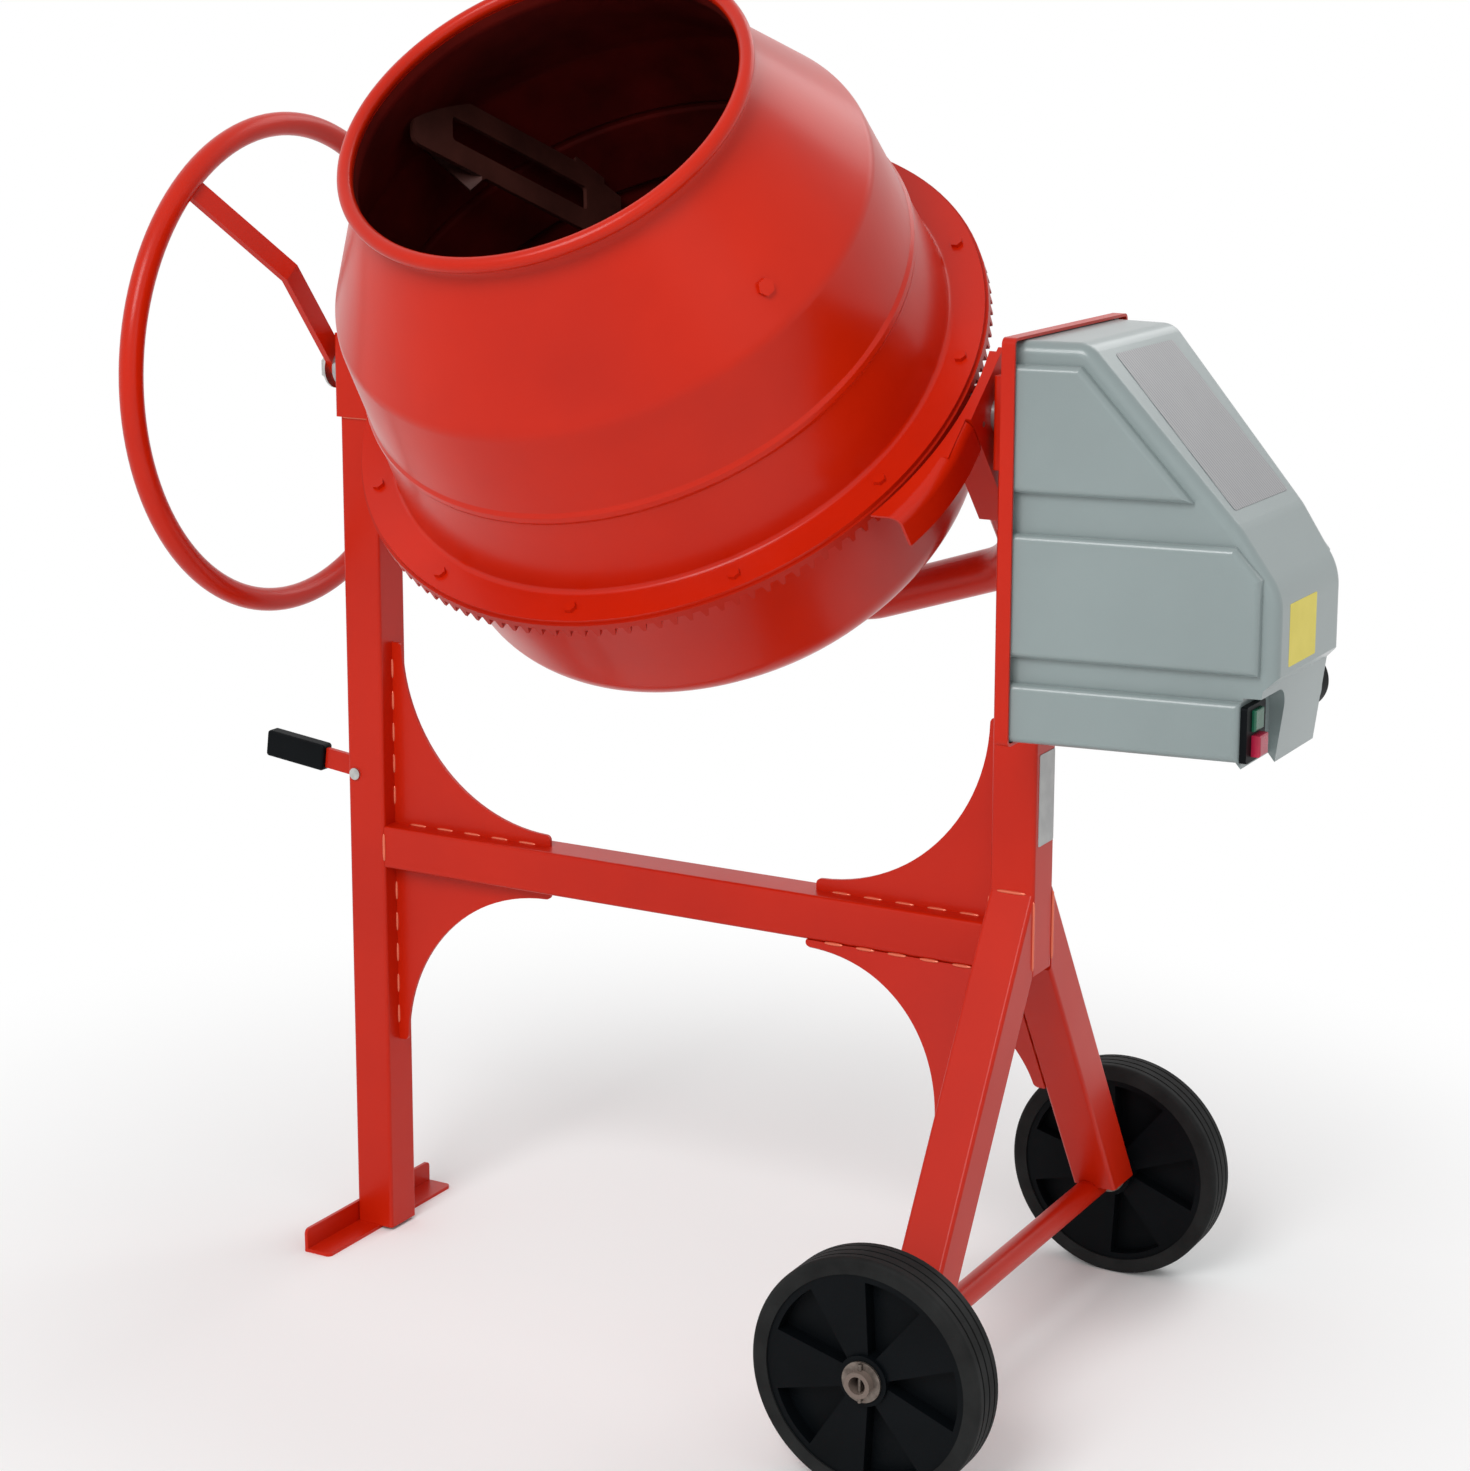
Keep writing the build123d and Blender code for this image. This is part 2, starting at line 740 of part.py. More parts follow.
def guard_bolt_shanks():
    start = arm_right - arm_plate - guard_wall
    shanks = [rod((start, side * guard_bolt_y, guard_bolt_z), (1, 0, 0), arm_plate + guard_wall,
                  guard_bolt_radius) for side in (-1, 1)]
    return Compound(children=shanks)


def guard_bolt_set():
    face = Plane(origin=(arm_right - arm_plate - guard_wall, 0, guard_bolt_z), z_dir=(-1, 0, 0))
    bolts = []
    for side, shank in zip((-1, 1), guard_bolt_shanks().solids()):
        head = hexagon_head(guard_bolt_head, bolt_head_height)
        spot = Pos(0, side * guard_bolt_y, 0) * face.location
        bolts.append(at_yoke(spot * head + shank))
    return Compound(children=bolts)


def handwheel_rim():
    place = Plane(origin=(handwheel_x, 0, tilt_height), z_dir=(1, 0, 0))
    return place.location * Torus(handwheel_radius, handwheel_tube)


def handwheel_spoke():
    """A flat bar across the wheel, bent so that its middle sits by the post."""
    reach = handwheel_radius - handwheel_tube / 2
    low_x = handwheel_x - spoke_thick / 2
    points = [(low_x, reach), (spoke_x - spoke_thick / 2, spoke_bend),
              (spoke_x - spoke_thick / 2, -spoke_bend), (low_x, -reach)]
    turn = Plane(origin=(0, 0, tilt_height), x_dir=(1, 0, 0),
                 z_dir=(0, -sin(radians(spoke_angle)), cos(radians(spoke_angle))))
    bar = extrude(turn * strip(points, spoke_thick), amount=spoke_width / 2, both=True)
    bar -= rod((spoke_x - spoke_thick, 0, tilt_height), (1, 0, 0), 2 * spoke_thick,
               wheel_stud_radius)
    return bar - handwheel_rim()


def handwheel_bolt():
    """The stud that clamps the spoke to the left trunnion, with its washer and nut."""
    outer = spoke_x - spoke_thick / 2
    shank = rod((outer, 0, tilt_height), (1, 0, 0), spoke_thick, wheel_stud_radius)
    shank += rod((outer + spoke_thick, 0, tilt_height), (1, 0, 0), wheel_bolt_length,
                 trunnion_bore_left)
    washer = rod((outer, 0, tilt_height), (-1, 0, 0), washer_thick, wheel_washer_radius)
    face = Plane(origin=(outer - washer_thick, 0, tilt_height), z_dir=(-1, 0, 0))
    return shank + washer + face.location * hexagon_head(wheel_bolt_head, wheel_bolt_height)


# ---------------------------------------------------------------- drum
def upper_line():
    """The upper shell's outside from the flange's edge up to the rim."""
    points = [(flange_radius, 0), (belt_foot, 0), (crease_radius, crease_height),
              (neck_radius, neck_height), (neck_radius, rim_height)]
    return FilletPolyline(*points, radius=[shell_fold, crease_bend, neck_bend])


def lower_line():
    """The bowl's outside from the spindle out to the flange's edge."""
    low = -2 * shell_wall
    points = [(spindle_radius, -bowl_bottom), (bowl_turn_radius, -bowl_bottom),
              (bowl_low_radius, bowl_low_height), (bowl_top_radius, low), (flange_radius, low)]
    return FilletPolyline(*points, radius=[bowl_turn, bowl_turn, shell_fold - shell_wall])


def skin(line):
    """The shell of one wall thickness on a line's left side."""
    wall = offset(line, amount=shell_wall, side=Side.LEFT, closed=True)
    return turned(make_face(wall.edges()))


def drum_cavity():
    """The space inside both shells."""
    middle = -shell_wall
    top, low = upper_line(), lower_line()
    above = Polyline((neck_radius, rim_height), (0, rim_height), (0, middle),
                     (flange_radius, middle), (flange_radius, 0))
    below = Polyline((flange_radius, -2 * shell_wall), (flange_radius, middle), (0, middle),
                     (0, -bowl_bottom), (spindle_radius, -bowl_bottom))
    upper = turned(make_face(top.edges() + above.edges())) - skin(top)
    lower = turned(make_face(low.edges() + below.edges())) - skin(low)
    return upper + lower


def band(shell, low, high):
    """The part of a shell between two heights over the flange."""
    middle = Pos(0, 0, (low + high) / 2)
    return shell & middle * Cylinder(2 * flange_radius, high - low)


def drum_belt():
    """The upper shell's flange and its lower course, up to the crease, with a rolled line."""
    shell = band(skin(upper_line()), -shell_wall, crease_height)
    belt_radius = belt_foot + (crease_radius - belt_foot) * belt_bead_height / crease_height
    line = Pos(0, 0, belt_bead_height) * Torus(belt_radius, belt_bead)
    inside = Pos(0, 0, belt_bead_height) * Cylinder(belt_radius - shell_wall / 2, 4 * belt_bead)
    return at_drum(shell + (line - inside) - flange_holes())


def drum_cone():
    """The upper shell from its crease to the rolled rim."""
    shell = band(skin(upper_line()), crease_height, rim_height)
    bead = Pos(0, 0, rim_height) * Torus(rim_radius - rim_bead, rim_bead)
    return at_drum(shell + bead - paddle_shanks())


def bowl_wall():
    """The bowl's wall and its flange."""
    return at_drum(band(skin(lower_line()), bowl_low_height, 0) - flange_holes())


def bowl_dish():
    """The bowl's dished floor."""
    return at_drum(band(skin(lower_line()), -2 * bowl_bottom, bowl_low_height))


def flange_spots():
    """Where the flange bolts stand round the drum, in the drum's frame."""
    for i in range(flange_bolts):
        angle = radians(flange_bolt_start + i * 360 / flange_bolts)
        yield flange_bolt_circle * cos(angle), flange_bolt_circle * sin(angle)


def flange_holes():
    low = ring_root - flange_top
    holes = [rod((x, y, low), (0, 0, 1), -low + 1, flange_bolt_radius) for x, y in flange_spots()]
    return Compound(children=holes)


def flange_bolt_set():
    low = ring_root - flange_top
    bolts = []
    for x, y in flange_spots():
        head = Pos(x, y, 0) * hexagon_head(bolt_head, bolt_head_height)
        bolts.append(at_drum(head + rod((x, y, low), (0, 0, 1), -low, flange_bolt_radius)))
    return bolts


def ring_gear():
    """A flat ring with square-cut teeth pointing down, away from the flange."""
    web_low = ring_root - flange_top
    outer = ring_mid_radius + ring_face / 2
    tip = web_low - tooth_above - tooth_below
    root_half = pitch * tooth_share / 2 + tooth_below * tooth_slope
    tip_half = pitch * tooth_share / 2 - tooth_above * tooth_slope
    side = Polyline((-root_half, web_low + 1), (-root_half, web_low), (-tip_half, tip),
                    (tip_half, tip), (root_half, web_low), (root_half, web_low + 1), close=True)
    start = Plane(origin=(outer - ring_face, 0, 0), x_dir=(0, 1, 0), z_dir=(1, 0, 0))
    tooth = extrude(start * make_face(side), amount=ring_face)
    step = 360 / ring_teeth
    teeth = [Rot(0, 0, (i + 0.5) * step) * tooth for i in range(ring_teeth)]
    web = Pos(0, 0, web_low) * extrude(Circle(outer) - Circle(ring_inner), amount=ring_web)
    return at_drum(web.fuse(*teeth) - flange_holes())


def drum_spindle():
    low_end = -yoke_depth - housing_length / 2 - play - spindle_nut_height - spindle_end
    bearing_top = -yoke_depth + housing_length / 2 + play
    flange_face = bowl_floor
    parts = rod((drum_x, 0, flange_face - spindle_flange), (0, 0, 1), spindle_flange,
                spindle_flange_radius)
    parts += rod((drum_x, 0, bearing_top), (0, 0, 1), flange_face - bearing_top, spindle_boss)
    parts += rod((drum_x, 0, low_end), (0, 0, 1), flange_face + shell_wall - low_end,
                 spindle_radius)
    return at_yoke(parts)


def spindle_nut():
    low = -yoke_depth - housing_length / 2 - play - spindle_nut_height
    nut = extrude(RegularPolygon(spindle_nut_side / sqrt(3), 6), amount=spindle_nut_height)
    nut -= extrude(Circle(spindle_radius), amount=spindle_nut_height)
    return at_yoke(Pos(drum_x, 0, low) * nut)


def bolt_plane(turn):
    """A frame on the cone's outside at a paddle's bolt, +Z into the drum, +X round it."""
    run, rise = crease_radius - neck_radius, neck_height - crease_height
    slant = hypot(run, rise)
    radius = crease_radius - run * (paddle_bolt_height - crease_height) / rise
    way = radians(paddle_bolt_angle + turn)
    inward = (-cos(way) * rise / slant, -sin(way) * rise / slant, -run / slant)
    return Plane(origin=(radius * cos(way), radius * sin(way), paddle_bolt_height),
                 x_dir=(-sin(way), cos(way), 0), z_dir=inward)


def paddle_shanks():
    """The bolts' shanks through the cone, from inside their heads to their nuts."""
    shank = Pos(0, 0, -bolt_head_height) * extrude(
        Circle(paddle_bolt_radius), amount=bolt_head_height + shell_wall + paddle_thick + play)
    return Compound(children=[bolt_plane(turn).location * shank for turn in (0, 180)])


def paddle_bolts():
    bolts = []
    for turn, shank in zip((0, 180), paddle_shanks().solids()):
        place = bolt_plane(turn).location
        head = Pos(0, 0, -bolt_head_height) * hexagon_head(paddle_bolt_head, bolt_head_height)
        nut = Pos(0, 0, shell_wall + paddle_thick + play) * hexagon_head(
            paddle_bolt_head, bolt_head_height)
        bolts.append(at_drum(shank + place * head + place * nut))
    return bolts


def paddle(turn):
    """A slotted blade that stands off the wall, bolted at the top and welded below."""
    along = Vector(*paddle_along).normalized()
    across = Vector(*paddle_across).normalized()
    plane = Plane(origin=paddle_centre, x_dir=along, z_dir=along.cross(across))
    face = RectangleRounded(paddle_length, paddle_width, paddle_corner)
    face -= RectangleRounded(*paddle_slot, paddle_thick)
    blade = extrude(plane * face, amount=paddle_thick / 2, both=True)
    edge = [(0, bowl_low_height), (bowl_low_radius, bowl_low_height), (belt_foot, 0),
            (crease_radius, crease_height), (neck_radius, neck_height), (0, neck_height)]
    room = [(max(r - paddle_clear, 0), z) for r, z in edge]
    blade &= turned(make_face(Polyline(*room, close=True)))
    tab = block(paddle_tab, (paddle_slot[1] / 2 + paddle_corner, 2 * paddle_width),
                (-paddle_thick / 2, paddle_thick / 2))
    place = bolt_plane(0).location
    foot = block((-paddle_pad[0] / 2, paddle_pad[0] / 2), (-paddle_pad[1] / 2, paddle_pad[1] / 2),
                 (0, shell_wall + paddle_thick))
    riser = block((-paddle_pad[0] / 2, paddle_pad[0] / 2),
                  (paddle_pad[1] / 2 - paddle_thick, paddle_pad[1] / 2), (0, paddle_width))
    under = block((-paddle_length, paddle_length), (-paddle_length, paddle_length),
                  (-paddle_length, paddle_thick / 2))
    raised = place * riser & plane.location * under
    whole = blade + plane.location * tab + place * foot + raised
    whole = (whole & drum_cavity()) - paddle_shanks()
    return at_drum(Rot(0, 0, turn) * whole)


# ---------------------------------------------------------------- pinion and its shaft
def pinion():
    tip = pinion_pitch + tooth_above
    root = pinion_pitch - tooth_below
    root_half = pitch * tooth_share / 2 + tooth_below * tooth_slope
    tip_half = pitch * tooth_share / 2 - tooth_above * tooth_slope
    tooth = make_face(Polyline((-root_half, root - 2), (-root_half, root), (-tip_half, tip),
                               (tip_half, tip), (root_half, root), (root_half, root - 2),
                               close=True))
    gear = Circle(root)
    for i in range(pinion_teeth):
        gear += Rot(0, 0, i * 360 / pinion_teeth) * tooth
    gear -= Circle(shaft_radius)
    start_x = drum_x + ring_mid_radius - pinion_face / 2
    plane = Plane(origin=(start_x, 0, 0), x_dir=(0, 1, 0), z_dir=(1, 0, 0))
    body = extrude(plane * gear, amount=pinion_face)
    body += rod((start_x + pinion_face, 0, 0), (1, 0, 0), pinion_hub, pinion_hub_radius,
                shaft_radius)
    return at_yoke(body)


def pinion_shaft():
    start_x = drum_x + ring_mid_radius - pinion_face / 2
    end_x = belt_x + belt_width + 2 * pulley_web
    return rod((start_x, 0, tilt_height), (1, 0, 0), end_x - start_x, shaft_radius)


def pulley(centre_z, radius, bore, hub):
    """A flat belt pulley on an axis along X."""
    start = (belt_x - pulley_web / 2, 0, centre_z)
    width = belt_width + pulley_web
    wheel = rod(start, (1, 0, 0), width, radius)
    if radius - pulley_rim > hub:
        for side in (0, width - (width - pulley_web) / 2):
            wheel -= rod((start[0] + side, 0, centre_z), (1, 0, 0), (width - pulley_web) / 2,
                         radius - pulley_rim, hub)
    return wheel - rod(start, (1, 0, 0), width, bore)


def drive_belt():
    """The belt loop round both pulleys, just clear of them."""
    loops = []
    for grow in (belt_play + belt_thick, belt_play):
        upper = Pos(0, tilt_height) * Circle(pulley_radius + grow)
        lower = Pos(0, motor_z) * Circle(motor_pulley_radius + grow)
        loops.append(make_hull(upper.edges() + lower.edges()))
    plane = Plane(origin=(belt_x, 0, 0), x_dir=(0, 1, 0), z_dir=(1, 0, 0))
    return extrude(plane * (loops[0] - loops[1]), amount=belt_width)


# ---------------------------------------------------------------- motor
def motor_start():
    return belt_x + belt_width + motor_gap


def motor_housing():
    start = motor_start()
    body = rod((start, 0, motor_z), (1, 0, 0), motor_length, motor_radius)
    body = fillet(body.edges().sort_by(Axis.X)[-1:], motor_edge)
    for i in range(fin_count):
        way = i * 2 * pi / fin_count
        middle = motor_radius
        fin = Box(motor_length - 4 * motor_flange, fin_width, 2 * fin_height)
        body += Pos(start + motor_length / 2, middle * sin(way), motor_z + middle * cos(way)) \
            * Rot(-degrees(way), 0, 0) * fin
    body += rod((start - motor_flange, 0, motor_z), (1, 0, 0), motor_flange, motor_flange_radius)
    for i in range(4):
        way = radians(45 + 90 * i)
        spot = (hood_x, standoff_circle * sin(way), motor_z + standoff_circle * cos(way))
        body += rod(spot, (1, 0, 0), start - hood_x, standoff_radius)
    bore = motor_shaft_radius + running_clearance
    return body - rod((hood_x, 0, motor_z), (1, 0, 0), start + motor_length / 2 - hood_x, bore)


def motor_shaft():
    start = belt_x - pulley_web / 2
    end = motor_start() + motor_length / 2 - play
    return rod((start, 0, motor_z), (1, 0, 0), end - start, motor_shaft_radius)


# ---------------------------------------------------------------- hood and its plate
def hood_half(x, depth):
    """Half the hood's width at a distance from the plate, this deep under its side panels."""
    return plate_half - plate_wall - hood_gap - depth - x * tan(radians(hood_draft))


def hood_plate():
    """A shallow tray on the saddle and the post that carries the motor and the hood."""
    wide = (hood_y - plate_half, hood_y + plate_half)
    low, high = tilt_height + plate_bottom, tilt_height + plate_top
    tray = block((plate_x, plate_x + plate_lip), wide, (low, high))
    tray = fillet(tray.edges().filter_by(Axis.X), plate_corner)
    hollow = block((hood_x, hood_x + plate_lip), (wide[0] + plate_wall, wide[1] - plate_wall),
                   (low + plate_wall, high - plate_wall))
    tray -= fillet(hollow.edges().filter_by(Axis.X), plate_corner - plate_wall)
    tray += block((right_x + half, plate_x), (-half, half),
                  (low, post_top - saddle_below - play))
    tray -= rod((plate_x, 0, tilt_height), (1, 0, 0), plate_lip, trunnion_radius + play)
    return tray - Compound(children=screw_shanks())


def hood_outline(inset):
    """The hood seen from its side, x from the plate and z, drawn inset by the wall."""
    low = hood_skirt_z - 2 * hood_edge
    high = plate_top - plate_wall - hood_gap - inset
    start = -hood_wall if inset else 0
    front = hood_front - inset
    corners = [(start, low), (front, low), (front, hood_shoulder_z),
               (hood_slope_x - inset, hood_slope_z - inset / 2),
               (hood_top_run - inset / 2, high), (start, high)]
    line = FilletPolyline(*corners, radius=list(hood_radii))
    return make_face(line.edges() + [Line(corners[-1], corners[0]).edge()])


def hood_underside(inset):
    """What is cut off below: the bottom, the skirt's lower edge and the step in the front."""
    low = plate_bottom + plate_wall + hood_gap + inset
    skirt = hood_front - hood_skirt_in - inset
    front = hood_front - inset
    clear = 2 * hood_front
    corners = [(-clear, -clear), (-clear, low), (skirt - hood_step, low),
               (skirt, hood_skirt_z + inset), (front - hood_step, hood_step_z - hood_step),
               (front, hood_step_z), (clear, hood_step_z), (clear, -clear)]
    return extrude(Plane.XZ * make_face(Polyline(*corners, close=True)), amount=plate_half,
                   both=True)


def tapered(face, depth):
    """A side-view outline as a solid between the side walls, this deep under the panels."""
    near = -2 * hood_wall
    far = hood_front + 2 * hood_wall
    plan = make_face(Polyline((near, hood_half(near, depth)), (far, hood_half(far, depth)),
                              (far, -hood_half(far, depth)), (near, -hood_half(near, depth)),
                              close=True))
    tall = extrude(plan, amount=2 * hood_front, both=True)
    return extrude(Plane.XZ * face, amount=plate_half, both=True) & tall


def rim_edges(shape, depth):
    """The edges round both side walls, but not those at the plate."""
    return [edge for edge in shape.edges()
            if abs(edge.center().Y) > hood_half(edge.center().X, depth) - hood_wall
            and abs(edge.tangent_at(0.5).Y) < 0.5 and edge.center().X > 1]


def side_panel(corners, inset):
    panel = tapered(make_face(Polyline(*corners, close=True)), inset)
    return fillet(rim_edges(panel, inset), panel_edge - inset / 2)


def hood_form(inset):
    """The hood as a solid, or its inside when inset by the wall."""
    start = -hood_wall if inset else 0
    low = plate_bottom + plate_wall + hood_gap + inset
    depth = panel_depth + inset
    body = tapered(hood_outline(inset), depth)
    body = fillet(rim_edges(body, depth), hood_edge - inset) - hood_underside(inset)
    middle_low, middle_high = panel_middle[0] + inset, panel_middle[1] - inset
    high_low, high_high = panel_high[0] + inset, panel_high[1] - inset
    end = panel_middle_end - inset
    body += side_panel([(start, low), (notch_x - inset, low),
                        (notch_x - inset, panel_low_top - inset),
                        (start, panel_low_top - inset)], inset)
    body += side_panel([(start, middle_low), (end, middle_low),
                        (end, middle_high - panel_chamfer[1]),
                        (end - panel_chamfer[0], middle_high), (start, middle_high)], inset)
    body += side_panel([(start, high_low), (panel_high_end - 2 * inset, high_low),
                        (panel_high_run - inset, high_high), (start, high_high)], inset)
    boss = extrude(Circle(inlet_radius + boss_margin - inset), amount=boss_height + 2 * panel_depth)
    body += inlet_place().location * Pos(0, 0, -2 * panel_depth - inset) * boss
    notch = block((notch_x - inset, 2 * hood_front), (-plate_half, notch_y + inset),
                  (-2 * hood_front, notch_z + inset))
    corner = notch.edges().filter_by(Axis.X).sort_by(Axis.Y)[-2:].sort_by(Axis.Z)[-1:]
    body -= fillet(corner, notch_round + inset)
    return body


def hood_flange():
    """A flat rim at the plate that closes the grooves between the side panels."""
    low = plate_bottom + plate_wall + hood_gap
    high = plate_top - plate_wall - hood_gap
    rim = block((0, hood_wall), (-hood_half(0, 0), hood_half(0, 0)), (low, high))
    return fillet(rim.edges().filter_by(Axis.X), plate_corner - plate_wall)


def motor_hood():
    shell = hood_form(0) + hood_flange() - hood_form(hood_wall)
    wide = switch_body_width / 2 + weld_gap
    tall = switch_body_height / 2 + weld_gap
    shell -= block((notch_x - 2 * hood_wall, notch_x + hood_wall),
                   (switch_y - wide, switch_y + wide), (switch_z - tall, switch_z + tall))
    shell -= inlet_place().location * Cylinder(inlet_neck, 4 * inlet_back)
    return HOOD * shell - Compound(children=screw_shanks())


def screw_spots():
    """Each hood screw: the head's distance from the plate, its side and its height."""
    for side in (-1, 1):
        for z in screw_heights:
            yield hood_wall, side, z


def screw_line(start, side, z, length, radius):
    """A round bar on a screw's axis, from a distance off the plate."""
    across = side * hood_half(0, screw_inset)
    return HOOD * rod((start, across, z), (1, 0, 0), length, radius)


def screw_shanks():
    return [screw_line(-plate_wall, side, z, plate_wall + x + screw_head_height, screw_radius)
            for x, side, z in screw_spots()]


def hood_screws():
    screws = []
    for (x, side, z), shank in zip(screw_spots(), screw_shanks()):
        screws.append(screw_line(x, side, z, screw_head_height, screw_head) + shank)
    return Compound(children=screws)


# ---------------------------------------------------------------- switch, buttons and inlet
def button_z(row):
    """A button's middle from the tilting axis: row 1 is the upper one, row -1 the lower."""
    return switch_z + row * button_spacing / 2


def switch_body():
    face = notch_x
    body = block((face, face + switch_bezel),
                 (switch_y - switch_width / 2, switch_y + switch_width / 2),
                 (switch_z - switch_height / 2, switch_z + switch_height / 2))
    body = fillet(body.edges().filter_by(Axis.X), hood_wall)
    body += block((face - switch_depth, face),
                  (switch_y - switch_body_width / 2, switch_y + switch_body_width / 2),
                  (switch_z - switch_body_height / 2, switch_z + switch_body_height / 2))
    deep = button_travel + button_seat + play
    for row in (1, -1):
        wide = button_width / 2 + button_play
        tall = button_height / 2 + button_play
        body -= block((face + switch_bezel - deep, face + switch_bezel),
                      (switch_y - wide, switch_y + wide),
                      (button_z(row) - tall, button_z(row) + tall))
    return HOOD * body


def button(row, reach):
    """A push button standing in its well, its inner face a travel short of the floor."""
    face = notch_x + switch_bezel
    body = block((face - button_seat, face + reach),
                 (switch_y - button_width / 2, switch_y + button_width / 2),
                 (button_z(row) - button_height / 2, button_z(row) + button_height / 2))
    return HOOD * fillet(body.faces().sort_by(Axis.X)[-1].edges(), button_round)


def inlet_place():
    """The inlet's seat on the far side panel, +Z outwards, from the plate and the hood's middle."""
    draft = radians(hood_draft)
    return Plane(origin=(inlet_x, hood_half(inlet_x, 0), inlet_z),
                 x_dir=(cos(draft), -sin(draft), 0), z_dir=(sin(draft), cos(draft), 0))


def power_inlet():
    """A round three-pin socket on the hood's far side, its neck through the hood."""
    socket = Pos(0, 0, boss_height) * extrude(Circle(inlet_radius), amount=inlet_depth)
    socket = fillet(socket.edges().sort_by(Axis.Z)[-1:], hood_wall)
    top = boss_height + inlet_depth
    socket -= Pos(0, 0, top - inlet_recess) * extrude(Circle(inlet_recess_radius),
                                                      amount=inlet_recess)
    for turn in (0, 120, 240):
        pin = extrude(Circle(inlet_pin), amount=inlet_recess)
        spot = Rot(0, 0, turn + 90) * Pos(inlet_pin_spacing / 2, 0, 0)
        socket += Pos(0, 0, top - inlet_recess) * spot * pin
    neck = extrude(Circle(inlet_neck - weld_gap), amount=inlet_back + boss_height)
    socket += Pos(0, 0, -inlet_back) * neck
    return HOOD * inlet_place().location * socket


# ---------------------------------------------------------------- tilt lock
def lever_plane():
    """The lever's frame: +X inwards along the lever from its pivot, drawn in its own plane."""
    rise = radians(lever_rise)
    return Plane(origin=(lever_pivot_x, 0, lever_pivot_z), x_dir=(cos(rise), 0, -sin(rise)),
                 z_dir=(0, -1, 0))


def lock_lever():
    length = lever_inner + lever_outer
    face = Pos((lever_inner - lever_outer) / 2, 0) * RectangleRounded(length, lever_height,
                                                                      tube_corner)
    face -= Circle(pivot_radius + running_clearance)
    return extrude(lever_plane() * face, amount=lever_thick / 2, both=True)


def lever_grip():
    end = lever_outer + tube_corner
    outer = Pos(-end + grip_length / 2, 0) * RectangleRounded(grip_length, grip_height, tube_corner)
    grip = extrude(lever_plane() * outer, amount=grip_thick / 2, both=True)
    grip = fillet(grip.edges().filter_by(GeomType.LINE).group_by(SortBy.LENGTH)[-1], 3.0)
    return grip - lock_lever()


def lock_rod():
    tip = tilt_height - trunnion_radius - play
    lever_top = lever_height_at(lock_x, 0) + lever_height / 2 / cos(radians(lever_rise))
    start = lever_top + rod_radius * tan(radians(lever_rise)) + rod_rest_gap
    return rod((lock_x, 0, start), (0, 0, 1), tip - start, rod_radius)


def lever_pivot_pin():
    pin = rod((lever_pivot_x, -half, lever_pivot_z), (0, 1, 0), tube_side, pivot_radius)
    for side in (-1, 1):
        pin += rod((lever_pivot_x, side * half, lever_pivot_z), (0, side, 0), pivot_head_height,
                   pivot_head)
    return pin


def nodes():
    """Every piece by its name."""
    along, back, up, down = (1, 0, 0), (-1, 0, 0), (0, 0, 1), (0, 0, -1)
    left_face, right_face = half, right_x - half
    return {
        "foot_angle": foot_angle(),
        "left_post": left_post(),
        "right_post": right_post(),
        "cross_beam": cross_beam(),
        "beam_gussets": Compound(children=[
            gusset((left_face, 0, beam_top), along, up),
            gusset((left_face, 0, beam_bottom), along, down),
            gusset((right_face, 0, beam_top), back, up)]),
        "leg_gussets": Compound(children=[leg_gusset(-1), leg_gusset(1)]),
        "leg_front": leg(-1),
        "leg_rear": leg(1),
        "saddles": Compound(children=[saddle(0), saddle(right_x)]),
        "trunnion_bushes": trunnion_bushes(),
        "axle": axle(),
        "wheel_keepers": Compound(children=axle_washers() + [split_pin(-1), split_pin(1)]),
        "tyre_front": tyre(-1),
        "tyre_rear": tyre(1),
        "wheel_disc_front": wheel_disc(-1),
        "wheel_disc_rear": wheel_disc(1),
        "wheel_bush_front": wheel_bush(-1),
        "wheel_bush_rear": wheel_bush(1),
        "trunnion_left": trunnion_left(),
        "trunnion_right": trunnion_right(),
        "arm_bracket_left": arm_bracket(arm_left, 1),
        "arm_bracket_right": arm_bracket(arm_right, -1),
        "yoke_arm_left": yoke_arm(1, arm_left),
        "yoke_arm_right": yoke_arm(-1, arm_right),
        "spindle_housing": spindle_housing(),
        "spindle_bearings": spindle_bearings(),
        "shaft_bushes": shaft_bushes(),
        "pinion_guard": pinion_guard(),
        "guard_bolts": guard_bolt_set(),
        "handwheel_rim": handwheel_rim(),
        "handwheel_spoke": handwheel_spoke(),
        "handwheel_bolt": handwheel_bolt(),
        "drum_belt": drum_belt(),
        "drum_cone": drum_cone(),
        "bowl_wall": bowl_wall(),
        "bowl_dish": bowl_dish(),
        "drum_bolts": Compound(children=flange_bolt_set() + paddle_bolts()),
        "ring_gear": ring_gear(),
        "drum_spindle": drum_spindle(),
        "spindle_nut": spindle_nut(),
        "paddle_a": paddle(0),
        "paddle_b": paddle(180),
        "pinion": pinion(),
        "pinion_shaft": pinion_shaft(),
        "driven_pulley": pulley(tilt_height, pulley_radius, shaft_radius, pulley_hub),
        "motor_pulley": pulley(motor_z, motor_pulley_radius, motor_shaft_radius,
                               motor_pulley_radius),
        "drive_belt": drive_belt(),
        "motor_housing": motor_housing(),
        "motor_shaft": motor_shaft(),
        "hood_plate": hood_plate(),
        "motor_hood": motor_hood(),
        "hood_screws": hood_screws(),
        "switch_body": switch_body(),
        "start_button": button(1, start_reach),
        "stop_button": button(-1, stop_reach),
        "power_inlet": power_inlet(),
        "lock_lever": lock_lever(),
        "lever_grip": lever_grip(),
        "lock_rod": lock_rod(),
        "lever_pivot_pin": lever_pivot_pin(),
    }


os.makedirs("parts", exist_ok=True)
for name, shape in nodes().items():
    export_step(shape, f"parts/{name}.step")
